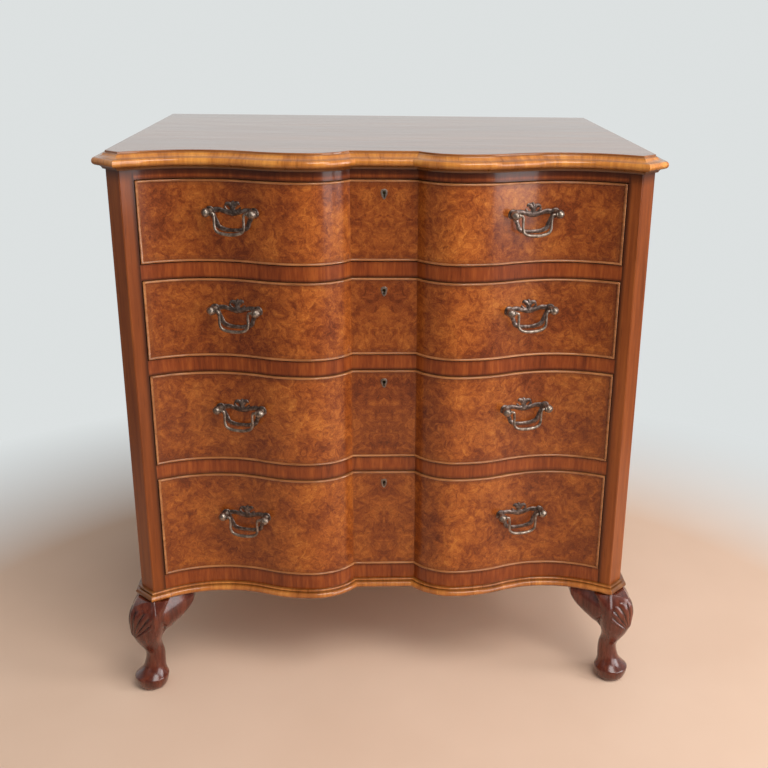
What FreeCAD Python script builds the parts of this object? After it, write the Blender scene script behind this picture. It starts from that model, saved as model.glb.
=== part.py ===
# Serpentine chest of four long drawers on cabriole legs
#
# The frame has +Z up, the front faces -Y and +X is to the right. The origin lies on the floor
# in the middle of the chest. Every length is in millimetres.
#
# The front line, seen from above, runs from each corner post through a hollow and a lobe to a
# flat recess in the middle. Everything that follows it (rails, drawer fronts, cock beads, top,
# mouldings, knee brackets) is drawn by the same functions, moved forward by its own distance.

import FreeCAD, Part
import math
import os
from FreeCAD import Placement, Rotation, Vector

doc = FreeCAD.newDocument("serpentine_chest")
sheet = doc.addObject("Spreadsheet::Sheet", "Sizes")


class Size:
    """A value of the sheet, or a sum of such values, with the expression that gives it."""

    def __init__(self, value, text):
        self.value = float(value)
        self.text = text

    def __float__(self):
        return self.value

    def __neg__(self):
        return Size(-self.value, "(-1 * %s)" % self.text)

    def __add__(self, other):
        other = as_size(other)
        return Size(self.value + other.value, "(%s + %s)" % (self.text, other.text))

    def __sub__(self, other):
        other = as_size(other)
        return Size(self.value - other.value, "(%s - %s)" % (self.text, other.text))

    def __rsub__(self, other):
        return as_size(other) - self

    def __mul__(self, other):
        other = as_size(other)
        return Size(self.value * other.value, "(%s * %s)" % (self.text, other.text))

    def __truediv__(self, other):
        other = as_size(other)
        return Size(self.value / other.value, "(%s / %s)" % (self.text, other.text))

    __radd__ = __add__
    __rmul__ = __mul__


def as_size(value):
    """A plain number joins a sum of sizes as itself."""
    return value if isinstance(value, Size) else Size(value, repr(float(value)))


row = 0


def size(name, value):
    """Write one driving dimension, or one share, into the sheet."""
    global row
    row += 1
    sheet.set("A%d" % row, name)
    sheet.set("B%d" % row, str(value))
    sheet.setAlias("B%d" % row, name)
    return Size(value, "Sizes.%s" % name)


# Case
body_width = size("body_width", 755)
case_depth = size("case_depth", 542.5)
corner_cant = size("corner_cant", 22.3)
leg_height = size("leg_height", 157)
base_moulding_height = size("base_moulding_height", 14)
bottom_rail_show = size("bottom_rail_show", 24)
divider_height = size("divider_height", 22.5)
top_rail_height = size("top_rail_height", 13.5)
post_width = size("post_width", 39.5)
first_opening_height = size("first_opening_height", 117.5)
second_opening_height = size("second_opening_height", 117.5)
third_opening_height = size("third_opening_height", 141)
fourth_opening_height = size("fourth_opening_height", 162)
top_thickness = size("top_thickness", 24.5)
side_thickness = size("side_thickness", 18)
back_thickness = size("back_thickness", 8)
back_rebate = size("back_rebate", 10)
post_depth = size("post_depth", 60)
rail_depth = size("rail_depth", 75)
board_thickness = size("board_thickness", 6)
tongue = size("tongue", 6)

# Front line seen from above, measured back from the front arris of the corner post, with
# shares of half the opening's width
recess_depth = size("recess_depth", 36.2)
lobe_depth = size("lobe_depth", 3.4)
hollow_depth = size("hollow_depth", 32.9)
lobe_place_share = size("lobe_place_share", 0.32367)
lobe_inner_share = size("lobe_inner_share", 0.22071)
lobe_outer_share = size("lobe_outer_share", 0.496)
hollow_place_share = size("hollow_place_share", 0.7432)

# Mouldings
top_board_inset = size("top_board_inset", 1.1)
top_moulding_reach = size("top_moulding_reach", 16.3)
top_moulding_height = size("top_moulding_height", 22)
base_moulding_reach = size("base_moulding_reach", 9)
moulding_root = size("moulding_root", 4)

# Drawers
drawer_gap = size("drawer_gap", 1.2)
bead_thickness = size("bead_thickness", 3.2)
bead_proud = size("bead_proud", 2.5)
front_back_depth = size("front_back_depth", 52)
drawer_end_depth = size("drawer_end_depth", 516)
drawer_side_thickness = size("drawer_side_thickness", 12)
drawer_side_gap = size("drawer_side_gap", 2)
drawer_side_drop = size("drawer_side_drop", 5)
drawer_back_thickness = size("drawer_back_thickness", 9)
drawer_back_drop = size("drawer_back_drop", 7)
drawer_bottom_thickness = size("drawer_bottom_thickness", 6)
drawer_bottom_rise = size("drawer_bottom_rise", 9)
drawer_groove = size("drawer_groove", 5)
drawer_lift = size("drawer_lift", 0.3)

# Runners, guides and stops
runner_width = size("runner_width", 40)
guide_gap = size("guide_gap", 0.8)
guide_height = size("guide_height", 16)
stop_length = size("stop_length", 45)
stop_width = size("stop_width", 12)
stop_height = size("stop_height", 6)
stop_place_share = size("stop_place_share", 0.6065)
stop_gap = size("stop_gap", 0.3)

# Locks and keyholes
lock_width = size("lock_width", 58)
lock_height = size("lock_height", 42)
lock_depth = size("lock_depth", 10)
lock_wall = size("lock_wall", 1.6)
bolt_width = size("bolt_width", 22)
bolt_height = size("bolt_height", 26)
bolt_notch_width = size("bolt_notch_width", 12)
bolt_notch_height = size("bolt_notch_height", 18)
bolt_gap = size("bolt_gap", 0.4)
bolt_throw = size("bolt_throw", 10)
mortise_margin = size("mortise_margin", 1)
mortise_depth = size("mortise_depth", 7)
keyhole_drop = size("keyhole_drop", 19.5)
keyhole_radius = size("keyhole_radius", 2.3)
keyhole_tail = size("keyhole_tail", 6.4)
keyhole_slot = size("keyhole_slot", 2.2)
escutcheon_half_width = size("escutcheon_half_width", 4.7)
escutcheon_half_height = size("escutcheon_half_height", 7.2)
escutcheon_drop = size("escutcheon_drop", 2)
escutcheon_proud = size("escutcheon_proud", 0.5)
escutcheon_set = size("escutcheon_set", 4)

# Handles
handle_place_share = size("handle_place_share", 0.62278)
handle_lift = size("handle_lift", 13.2)
post_spread = size("post_spread", 64)
post_reach = size("post_reach", 14)
post_neck_radius = size("post_neck_radius", 2.9)
stem_radius = size("stem_radius", 2.2)
stem_gap = size("stem_gap", 0.3)
stem_end = size("stem_end", 19)
nut_seat = size("nut_seat", 14)
nut_radius = size("nut_radius", 5.2)
nut_thickness = size("nut_thickness", 3)
nut_pocket_radius = size("nut_pocket_radius", 7.5)
knob_radius = size("knob_radius", 5.1)
knob_half_length = size("knob_half_length", 5)
knob_bore_radius = size("knob_bore_radius", 2.3)
knob_bore_depth = size("knob_bore_depth", 4.2)
plate_thickness = size("plate_thickness", 1.8)
plate_seat = size("plate_seat", 0.06)
plate_half_width = size("plate_half_width", 39)
plate_drop = size("plate_drop", 28.5)
bail_radius = size("bail_radius", 1.85)
bail_pin_gap = size("bail_pin_gap", 0.5)
bail_half_width = size("bail_half_width", 21.3)
bail_drop = size("bail_drop", 30)

# Cabriole legs and knee brackets
knee_reach = size("knee_reach", 19.8)
knee_half_width = size("knee_half_width", 28)
bracket_start = size("bracket_start", 29.5)
bracket_length = size("bracket_length", 49.7)
bracket_drop = size("bracket_drop", 60.5)
bracket_root = size("bracket_root", 14)
bracket_proud = size("bracket_proud", 5.5)
bracket_thickness = size("bracket_thickness", 24)

# How far every cutting tool runs past the piece it cuts
overrun = size("overrun", 3)

# Shares of the leg's height, knee reach and knee half width, from the floor up, with the
# exponent that turns a circle (2) into a rounded square
LEG_SHARES = (
    (0.000, 0.470, 0.660, 2.0),
    (0.019, 0.660, 0.790, 2.0),
    (0.064, 0.830, 0.905, 2.0),
    (0.134, 0.900, 0.953, 2.0),
    (0.191, 0.760, 0.893, 2.0),
    (0.242, 0.390, 0.736, 2.0),
    (0.306, -0.015, 0.568, 2.0),
    (0.382, -0.090, 0.507, 2.0),
    (0.465, 0.065, 0.546, 2.0),
    (0.554, 0.545, 0.693, 2.3),
    (0.659, 0.885, 0.875, 2.6),
    (0.780, 1.000, 0.980, 3.2),
    (0.930, 0.727, 0.964, 5.0),
    (1.000, 0.354, 0.893, 9.0),
)
LEG_SIDES = 12

# Sections of the two mouldings as shares of their reach and height, from the case outwards
TOP_SECTION_SHARES = (
    (0.22, 0.0),
    (0.46, 0.21),
    (0.76, 0.245),
    (1.0, 0.486),
    (0.80, 0.72),
    (0.42, 0.77),
    (0.15, 0.88),
    (-0.08, 1.0),
)
BASE_SECTION_SHARES = (
    (0.55, 0.0),
    (1.0, 0.30),
    (0.52, 0.67),
    (0.33, 0.69),
    (0.33, 0.78),
    (0.50, 0.86),
    (0.33, 1.0),
)

# Right half of the back plate as shares of its half width and drop
PLATE_OUTER_SHARES = (
    (0.00, 0.40),
    (0.11, 0.45),
    (0.26, 0.22),
    (0.16, 0.09),
    (0.66, 0.08),
    (0.81, 0.20),
    (1.00, 0.06),
    (0.97, -0.13),
    (0.69, -0.22),
    (0.69, -0.55),
    (0.60, -0.81),
    (0.33, -0.97),
    (0.00, -1.00),
)
PLATE_INNER_SHARES = (
    (0.00, -0.30),
    (0.16, -0.20),
    (0.52, -0.17),
    (0.54, -0.52),
    (0.45, -0.72),
    (0.25, -0.82),
    (0.00, -0.84),
)

# Right half of the bail as shares of its half width and drop, from the pin to the middle
BAIL_SHARES = (
    (1.06, 0.0),
    (1.0, -0.06),
    (1.0, -0.62),
    (0.93, -0.80),
    (0.76, -0.915),
    (0.40, -0.983),
)
BAIL_SIDES = 6

# Sections of a post's knob as shares of its half length and radius
KNOB_SHARES = ((-1.0, 0.62), (-0.45, 1.0), (0.35, 1.0), (1.0, 0.55))

# Sides of small turned pieces, and stations along the bent back plate
TURNED_SIDES = 8
STEM_SIDES = 6
PLATE_STATION_SHARES = (-1.06, -0.53, 0.0, 0.53, 1.06)

# Right half of the escutcheon as shares of its half width and half height
ESCUTCHEON_SHARES = (
    (0.0, 1.0),
    (0.55, 0.93),
    (0.93, 0.70),
    (1.0, 0.30),
    (0.82, -0.20),
    (0.60, -0.58),
    (0.30, -0.88),
    (0.0, -1.0),
)

# Lower edge of a knee bracket as shares of its length and drop, from the leg outwards
BRACKET_SHARES = ((0.0, 1.0), (0.36, 0.77), (0.62, 0.545), (0.885, 0.322), (0.966, 0.116), (1.0, 0.0))

# Sizes that follow from the ones above
half_body = body_width / 2
half_opening = half_body - post_width
lobe_place = half_opening * lobe_place_share
lobe_inner_radius = half_opening * lobe_inner_share
hollow_place = half_opening * hollow_place_share
stop_place = half_opening * stop_place_share
handle_place = half_opening * handle_place_share
front = (knee_reach - case_depth) / 2
back = front + case_depth
back_inner = back - back_thickness
side_inner = half_body - side_thickness
opening_heights = [first_opening_height, second_opening_height, third_opening_height, fourth_opening_height]
case_top = leg_height + base_moulding_height + bottom_rail_show + top_rail_height + 3 * divider_height
for opening_height in opening_heights:
    case_top = case_top + opening_height
bottom_rail_height = base_moulding_height + bottom_rail_show
rails_below = [divider_height, divider_height, divider_height, bottom_rail_height]
front_half_width = half_opening - drawer_gap
drawer_half_width = half_opening - drawer_side_gap
drawer_inner = drawer_half_width - drawer_side_thickness
ledge_inner = side_inner - runner_width
front_back = front + front_back_depth
drawer_end = front + drawer_end_depth

# Top and bottom of the four openings, from the top drawer down
opening_tops = [case_top - top_rail_height]
for opening_height, rail in zip(opening_heights[:-1], rails_below):
    opening_tops.append(opening_tops[-1] - opening_height - rail)
opening_bottoms = [top - tall for top, tall in zip(opening_tops, opening_heights)]

nodes = []


def bind(thing, prop, value):
    """Tie one property to the sheet. A plain zero needs no tie."""
    if isinstance(value, Size):
        thing.setExpression(prop, value.text)


def place(thing, x=0, y=0, z=0):
    bind(thing, "Placement.Base.x", x)
    bind(thing, "Placement.Base.y", y)
    bind(thing, "Placement.Base.z", z)
    return thing


def node(name, thing):
    """Name a finished sub-part: the label names its file."""
    thing.Label = name
    nodes.append(thing)
    return thing


def span(name, xs, ys, zs):
    """A box between two values along each axis."""
    block = doc.addObject("Part::Box", name)
    bind(block, "Length", xs[1] - xs[0])
    bind(block, "Width", ys[1] - ys[0])
    bind(block, "Height", zs[1] - zs[0])
    return place(block, xs[0], ys[0], zs[0])


def middle(half, extra=0):
    """From one side of the middle plane to the other."""
    return (-(half + extra), half + extra)


def feature(name, shape):
    """An outline or form worked out from the sizes of the sheet."""
    thing = doc.addObject("Part::Feature", name)
    thing.Shape = shape
    return thing


def prism(name, face, bottom, height):
    """A plan drawn at floor level, raised to bottom and made height tall."""
    thing = doc.addObject("Part::Extrusion", name)
    thing.Base = feature(name + "_plan", face)
    thing.DirMode = "Custom"
    thing.Dir = Vector(0, 0, 1)
    thing.Solid = True
    bind(thing, "LengthFwd", height)
    return place(thing, z=bottom)


def slab(name, face, start, depth):
    """A front view drawn at the middle plane, moved to start and made depth deep."""
    thing = doc.addObject("Part::Extrusion", name)
    thing.Base = feature(name + "_view", face)
    thing.DirMode = "Custom"
    thing.Dir = Vector(0, 1, 0)
    thing.Solid = True
    bind(thing, "LengthFwd", depth)
    return place(thing, y=start)


def rod(name, axis, radius, start, length, sides=0):
    """A round rod along X or Y from start, or a prism where sides are given."""
    thing = doc.addObject("Part::Prism" if sides else "Part::Cylinder", name)
    turned = Rotation(Vector(0, 1, 0), 90) if axis == "x" else Rotation(Vector(1, 0, 0), -90)
    thing.Placement = Placement(Vector(0, 0, 0), turned)
    if sides:
        thing.Polygon = sides
        bind(thing, "Circumradius", radius)
    else:
        bind(thing, "Radius", radius)
    bind(thing, "Height", length)
    return place(thing, *start)


def cut(name, base, tools):
    thing = doc.addObject("Part::Cut", name)
    thing.Base = base
    thing.Tool = tools[0] if len(tools) == 1 else fuse(name + "_tools", tools)
    return thing


def fuse(name, things):
    thing = doc.addObject("Part::MultiFuse", name)
    thing.Shapes = things
    return thing


def common(name, things):
    thing = doc.addObject("Part::MultiCommon", name)
    thing.Shapes = things
    return thing


def group(name, things):
    """Separate solids that share one node."""
    thing = doc.addObject("Part::Compound", name)
    thing.Links = things
    return thing


def mirror(name, thing):
    """The left-hand copy of a right-hand piece."""
    copy = doc.addObject("Part::Mirroring", name)
    copy.Source = thing
    copy.Base = Vector(0, 0, 0)
    copy.Normal = Vector(1, 0, 0)
    return copy


def pair(name, right):
    return group(name, [right, mirror(name + "_mirrored", right)])


# The front line

lobe_to_hollow = float(hollow_place - lobe_place)
lobe_over_hollow = float(hollow_depth - lobe_depth)
radius_sum = (lobe_to_hollow ** 2 + lobe_over_hollow ** 2) / (2 * lobe_over_hollow)
lobe_radius = float(lobe_outer_share) * radius_sum
hollow_radius = radius_sum - lobe_radius
FACING = -math.pi / 2
turn = math.atan2(-(radius_sum - lobe_over_hollow), lobe_to_hollow)
lobe_line = float(front + lobe_depth)
lobe_inner_centre = Vector(float(lobe_place), lobe_line + float(lobe_inner_radius), 0)
lobe_centre = Vector(float(lobe_place), lobe_line + lobe_radius, 0)
hollow_centre = Vector(float(hollow_place), float(front + hollow_depth) - hollow_radius, 0)


def on_circle(centre, radius, angle):
    return centre + Vector(radius * math.cos(angle), radius * math.sin(angle), 0)


def arc(centre, radius, start, end):
    points = [on_circle(centre, radius, angle) for angle in (start, (start + end) / 2, end)]
    return Part.Arc(*points).toShape()


def line(start, end):
    return Part.makeLine(start, end)


def hollow_angle(x, out=0):
    """Where the hollow, moved forward by out, reaches the distance x from the middle."""
    return math.acos((float(x) - hollow_centre.x) / (hollow_radius - float(out)))


def face_point(x, out=0):
    """The point of the front line's lobe or hollow at the distance x from the middle."""
    x, out = float(x), float(out)
    if x > lobe_centre.x + (lobe_radius + out) * math.cos(turn):
        return on_circle(hollow_centre, hollow_radius - out, hollow_angle(x, out))
    return on_circle(lobe_centre, lobe_radius + out, -math.acos((x - lobe_centre.x) / (lobe_radius + out)))


def recess_corner_angle(out):
    """Where the lobe, moved forward by out, meets the flat of the recess."""
    radius = float(lobe_inner_radius) + float(out)
    drop = radius - float(recess_depth - lobe_depth)
    return -math.pi + math.asin(drop / radius)


def right_curve(out, start_angle, end_angle):
    """Lobe and hollow to the right of the recess, from the middle outwards."""
    out = float(out)
    return [
        arc(lobe_inner_centre, float(lobe_inner_radius) + out, start_angle, FACING),
        arc(lobe_centre, lobe_radius + out, FACING, turn),
        arc(hollow_centre, hollow_radius - out, turn + math.pi, end_angle),
    ]


def front_edges(out, end_angle):
    """The right half of the front line, moved forward by out, from the middle to end_angle."""
    out = float(out)
    start_angle = recess_corner_angle(out)
    corner = on_circle(lobe_inner_centre, float(lobe_inner_radius) + out, start_angle)
    return [line(Vector(0, corner.y, 0), corner)] + right_curve(out, start_angle, end_angle)


def plan(right_edges):
    """A plan from the edges of its right half, which start and end on the middle line."""
    left_edges = [edge.mirror(Vector(0, 0, 0), Vector(1, 0, 0)) for edge in right_edges]
    return Part.Face(Part.Wire(Part.__sortEdges__(right_edges + left_edges)))


def strip_plan(half_width, out, back_line):
    """Plan of a rail, drawer front or bead: the front line before, a straight line behind."""
    end = face_point(half_width, out)
    behind = Vector(end.x, float(back_line), 0)
    edges = front_edges(out, hollow_angle(half_width, out))
    return plan(edges + [line(end, behind), line(behind, Vector(0, behind.y, 0))])


# The corner post carries the front line on as a straight line, tangent to the hollow
post_angle = hollow_angle(half_opening)
post_slope = Vector(math.sin(post_angle), -math.cos(post_angle), 0)
post_start = face_point(half_opening)
arris_x = float(half_body - corner_cant)
arris = post_start + post_slope * ((arris_x - post_start.x) / post_slope.x)
cant_slope = Vector(math.sqrt(0.5), math.sqrt(0.5), 0)


def crossing(start, slope, other, other_slope):
    """Where two lines of the plan cross."""
    gap = other - start
    spread = slope.x * other_slope.y - slope.y * other_slope.x
    return start + slope * ((gap.x * other_slope.y - gap.y * other_slope.x) / spread)


def corner_points(out):
    """Post edge, front arris and side arris of the canted corner, moved outwards by out."""
    out = float(out)
    start = on_circle(hollow_centre, hollow_radius - out, post_angle)
    cant_start = arris + Vector(cant_slope.y, -cant_slope.x, 0) * out
    first = crossing(start, post_slope, cant_start, cant_slope)
    side = Vector(float(half_body) + out, 0, 0)
    return start, first, crossing(cant_start, cant_slope, side, Vector(0, 1, 0))


def case_plan(out):
    """The whole case seen from above, moved outwards by out but flush at the back."""
    start, first, second = corner_points(out)
    behind = Vector(second.x, float(back), 0)
    edges = front_edges(out, post_angle)
    edges += [line(start, first), line(first, second), line(second, behind)]
    return plan(edges + [line(behind, Vector(0, behind.y, 0))])


def polygon(points):
    return Part.Face(Part.makePolygon(points + points[:1]))


def mirrored_polygon(shares, wide, high):
    """A closed front view from its right half, whose ends lie on the middle line."""
    points = [Vector(x * float(wide), 0, z * float(high)) for x, z in shares]
    points += [Vector(-p.x, p.y, p.z) for p in reversed(points) if p.x > 0]
    return polygon(points)


# Mouldings


def section(shares, reach, high, origin, outward):
    """A moulding's section, closed behind the face of the case by its root."""

    def at(u, v):
        return origin + outward * u + Vector(0, 0, v)

    root = -float(moulding_root)
    points = [at(root, 0)]
    points += [at(u * float(reach), v * float(high)) for u, v in shares]
    points.append(at(root, float(high)))
    return Part.makePolygon(points + points[:1])


def turned_run(name, outline, centre, sweep_angle):
    """The part of a moulding that follows one arc of the front line."""
    run = doc.addObject("Part::Revolution", name)
    run.Source = feature(name + "_section", outline)
    run.Axis = Vector(0, 0, 1)
    run.Base = centre
    run.Angle = math.degrees(sweep_angle)
    run.Solid = True
    return run


def straight_run(name, outline, direction, length, bounds):
    """A straight length of a moulding, mitred where bounds, a plan, ends."""
    run = doc.addObject("Part::Extrusion", name)
    run.Base = feature(name + "_section", outline)
    run.DirMode = "Custom"
    run.Dir = direction
    run.Solid = True
    run.LengthFwd = length
    if bounds is None:
        return run
    return common(name + "_mitred", [run, bounds])


def moulding(name, shares, reach, high, bottom, inset):
    """A moulding round the front and both sides.

    The run along the lobe goes on behind the recess, where it is cut off by the case, so that
    it meets the straight middle run in a true inner mitre.
    """
    level = Vector(0, 0, float(bottom))

    def outline(point, outward, back_off=0):
        along = Vector(-outward.y, outward.x, 0)
        return section(shares, reach, high, point + level - along * back_off, outward)

    runs = []
    arcs = (
        (lobe_inner_centre, float(lobe_inner_radius), -math.pi, FACING, 1),
        (lobe_centre, lobe_radius, FACING, turn, 1),
        (hollow_centre, hollow_radius, turn + math.pi, post_angle, -1),
    )
    for centre, radius, start, end, bulge in arcs:
        point = on_circle(centre, radius, start)
        outward = (point - centre).normalize() * bulge
        runs.append(turned_run(name + "_turned", outline(point, outward), centre, end - start))

    # Post face, cant and side: each is cut at the mitres it makes with its neighbours
    inner, outer = corner_points(-2 * float(moulding_root)), corner_points(2 * float(reach))
    lines = list(corner_points(0))
    lines.append(Vector(lines[2].x, float(back), 0))
    inner_ends = list(inner) + [Vector(inner[2].x, lines[3].y, 0)]
    outer_ends = list(outer) + [Vector(outer[2].x, lines[3].y, 0)]
    for i in range(3):
        direction = (lines[i + 1] - lines[i]).normalize()
        outward = Vector(direction.y, -direction.x, 0)
        corners = [inner_ends[i], outer_ends[i], outer_ends[i + 1], inner_ends[i + 1]]
        bounds = prism(name + "_bounds", polygon(corners), bottom - overrun, high + 2 * overrun)
        margin = 4 * float(reach)
        length = (lines[i + 1] - lines[i]).Length + 2 * margin
        profile = outline(lines[i], outward, margin)
        runs.append(straight_run(name + "_straight", profile, direction, length, bounds))

    right = fuse(name + "_right", runs)
    half_width = float(lobe_place - lobe_inner_radius + recess_depth)
    start = Vector(-half_width, float(front + recess_depth), 0)
    profile = outline(start, Vector(0, -1, 0))
    centre_run = straight_run(name + "_centre", profile, Vector(1, 0, 0), 2 * half_width, None)
    whole = fuse(name + "_runs", [right, mirror(name + "_left", right), centre_run])
    core = prism(name + "_core", case_plan(-inset), bottom - overrun, high + 2 * overrun)
    return node(name, cut(name + "_cut", whole, [core]))


# Case


def top_board():
    node("top_board", prism("top_board_solid", case_plan(-top_board_inset), case_top, top_thickness))


def case_sides():
    side = span("side", (side_inner, half_body), (front + post_depth, back), (leg_height, case_top))
    rebate = span(
        "side_rebate",
        (side_inner - overrun, side_inner + back_rebate),
        (back_inner, back + overrun),
        (leg_height - overrun, case_top + overrun),
    )
    node("case_sides", pair("sides", cut("side_cut", side, [rebate])))


def back_panel():
    xs = middle(side_inner + back_rebate)
    node("back_panel", span("back_board", xs, (back_inner, back), (leg_height, case_top)))


def corner_posts():
    start, first, second = corner_points(0)
    depth = float(front + post_depth)
    face = polygon([start, first, second, Vector(second.x, depth, 0), Vector(start.x, depth, 0)])
    node("corner_posts", pair("posts", prism("post", face, leg_height, case_top - leg_height)))


def groove(name, middle_height):
    """The groove in the back edge of a rail that holds the front edge of a dust board."""
    return span(
        name,
        middle(ledge_inner, tongue),
        (front + rail_depth - tongue, front + rail_depth + overrun),
        (middle_height - board_thickness / 2, middle_height + board_thickness / 2),
    )


def bolt_range():
    """How far back the bolt of a lock lies."""
    start = front_back - lock_depth + lock_wall + bolt_gap
    return start, front_back - lock_wall - bolt_gap


def mortise(name, bottom, depth, margin):
    ys = bolt_range()
    xs = middle(bolt_width / 2, margin)
    return span(name, xs, (ys[0] - margin, ys[1] + margin), (bottom, bottom + depth))


def front_rails():
    rails = []
    tops = [case_top] + opening_bottoms
    bottoms = opening_tops + [leg_height]
    for i, (top, bottom) in enumerate(zip(tops, bottoms)):
        face = strip_plan(half_opening, 0, front + rail_depth)
        rail = prism("rail", face, bottom, top - bottom)
        tools = []
        if i > 0:
            tools.append(groove("rail_groove", (top + bottom) / 2))
        if i < len(opening_tops):
            tools.append(mortise("bolt_mortise", bottom - overrun, mortise_depth + overrun, mortise_margin))
        rails.append(cut("rail_cut", rail, tools))
    node("front_rails", group("rails", rails))


def dust_boards():
    boards = []
    for bottom, rail in zip(opening_bottoms, rails_below):
        level = bottom - rail / 2
        zs = (level - board_thickness / 2, level + board_thickness / 2)
        ys = (front + rail_depth - tongue, back_inner)
        boards.append(span("dust_board", middle(ledge_inner, tongue), ys, zs))
    node("dust_boards", group("boards", boards))


def drawer_runners():
    """A runner with a guide on each side of every drawer, and two stops on the rail below."""
    blocks = []
    ys = (front + rail_depth, back_inner)
    for bottom, rail in zip(opening_bottoms, rails_below):
        ledge = span("ledge", (ledge_inner, side_inner), ys, (bottom - rail, bottom))
        guide_start = drawer_half_width + guide_gap
        guide = span("guide", (guide_start, side_inner), ys, (bottom, bottom + guide_height))
        level = bottom - rail / 2
        slot = span(
            "ledge_groove",
            (ledge_inner - overrun, ledge_inner + tongue),
            (ys[0] - overrun, ys[1] + overrun),
            (level - board_thickness / 2, level + board_thickness / 2),
        )
        runner = cut("runner", fuse("ledge_and_guide", [ledge, guide]), [slot])
        stop = span(
            "stop",
            (stop_place - stop_length / 2, stop_place + stop_length / 2),
            (front_back + stop_gap, front_back + stop_gap + stop_width),
            (bottom, bottom + stop_height),
        )
        blocks += [runner, mirror("left_runner", runner), stop, mirror("left_stop", stop)]
    node("drawer_runners", group("runners_and_stops", blocks))


# Legs and knee brackets


def leg_section(share, rear):
    """One section of a leg as a closed polygon of LEG_SIDES sides."""
    height_share, reach_share, width_share, exponent = share
    reach = reach_share * float(knee_reach)
    half = width_share * float(knee_half_width)
    x = float(half_body) + reach - half
    y = float(back - knee_half_width) if rear else float(front) + half - reach
    points = []
    for i in range(LEG_SIDES + 1):
        angle = 2 * math.pi * (i % LEG_SIDES) / LEG_SIDES
        along, across = math.cos(angle), math.sin(angle)
        radius = half / (abs(along) ** exponent + abs(across) ** exponent) ** (1 / exponent)
        points.append(Vector(x + radius * along, y + radius * across, height_share * float(leg_height)))
    return Part.makePolygon(points)


def leg(name, rear):
    loft = doc.addObject("Part::Loft", name)
    loft.Sections = [feature(name + "_section", leg_section(share, rear)) for share in LEG_SHARES]
    loft.Solid = True
    loft.Ruled = True
    return loft


def bracket_view():
    """Side view of a knee bracket: x runs from the corner of the case along its face."""
    points = []
    for along, down in BRACKET_SHARES:
        x = float(bracket_start + bracket_length * along)
        points.append(Vector(x, 0, float(leg_height - bracket_drop * down)))
    root = float(bracket_start - bracket_root)
    points += [Vector(root, 0, float(leg_height)), Vector(root, 0, points[0].z)]
    return points


def side_bracket(name, corner, direction, shift):
    """A bracket along a side, from the corner towards the front or the back."""
    points = [Vector(0, corner + direction * (p.x + shift), p.z) for p in bracket_view()]
    thing = doc.addObject("Part::Extrusion", name)
    thing.Base = feature(name + "_view", polygon(points))
    thing.DirMode = "Custom"
    thing.Dir = Vector(1, 0, 0)
    thing.Solid = True
    bind(thing, "LengthFwd", bracket_thickness)
    return place(thing, x=half_body + bracket_proud - bracket_thickness)


def legs_and_brackets():
    front_leg = leg("front_leg", False)
    rear_leg = leg("rear_leg", True)
    node("front_legs", pair("front_leg_pair", front_leg))
    node("rear_legs", pair("rear_leg_pair", rear_leg))
    points = [Vector(float(half_body) - p.x, 0, p.z) for p in bracket_view()]
    view = slab("front_bracket_view", polygon(points), front - overrun, post_depth)
    bottom = leg_height - bracket_drop - overrun
    tall = bracket_drop + 2 * overrun
    band = prism("bracket_outside", case_plan(bracket_proud), bottom, tall)
    core = prism("bracket_inside", case_plan(bracket_proud - bracket_thickness), bottom, tall)
    shaped = cut("front_bracket_back", common("front_bracket_face", [view, band]), [core])
    brackets = [cut("front_bracket", shaped, [front_leg])]
    forward = side_bracket("fore_side_bracket", float(front), 1, 0)
    brackets.append(cut("fore_bracket", forward, [front_leg]))
    rear_shift = float(knee_half_width * 2 - bracket_start) - float(knee_reach) / 4
    rearward = side_bracket("rear_side_bracket", float(back), -1, rear_shift)
    brackets.append(cut("rear_bracket", rearward, [rear_leg]))
    node("knee_brackets", pair("bracket_pairs", group("right_brackets", brackets)))


# Drawers

handle_from = face_point(handle_place - post_spread / 2)
handle_to = face_point(handle_place + post_spread / 2)
handle_turn = math.degrees(math.atan2(handle_to.y - handle_from.y, handle_to.x - handle_from.x))
handle_middle = (handle_from + handle_to) * 0.5


def at_handle(thing, level):
    """Set a piece drawn about a handle's middle on the right-hand half of a drawer front."""
    turned = Rotation(Vector(0, 0, 1), handle_turn)
    thing.Placement = Placement(Vector(handle_middle.x, handle_middle.y, 0), turned)
    bind(thing, "Placement.Base.z", level)
    return thing


def both_posts(name, radius, start, length, sides=0):
    """A rod through the front at each post of a handle."""
    right = rod(name, "y", radius, (post_spread / 2, start, 0), length, sides)
    return pair(name + "_both", right)


def bail(name, level):
    """The hanging bail: a rod of BAIL_SIDES sides bent at each point of its path."""
    pin_end = float(post_spread / 2 - knob_half_length + knob_bore_depth - bail_pin_gap)
    y = -float(post_reach)
    path = [Vector(pin_end, y, 0)]
    path += [Vector(x * float(bail_half_width), y, z * float(bail_drop)) for x, z in BAIL_SHARES]
    middle_point = Vector(0, y, -float(bail_drop))
    path += [middle_point] + [Vector(-p.x, p.y, p.z) for p in reversed(path)]
    ring = []
    for i in range(BAIL_SIDES):
        angle = 2 * math.pi * (i + 0.5) / BAIL_SIDES
        radius = float(bail_radius)
        ring.append(Vector(pin_end, y + radius * math.cos(angle), radius * math.sin(angle)))
    sweep = doc.addObject("Part::Sweep", name)
    sweep.Sections = [feature(name + "_section", Part.makePolygon(ring + ring[:1]))]
    edges = ["Edge%d" % (i + 1) for i in range(len(path) - 1)]
    sweep.Spine = (feature(name + "_path", Part.makePolygon(path)), edges)
    sweep.Solid = True
    sweep.Transition = "Right corner"
    return at_handle(sweep, level)


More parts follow.
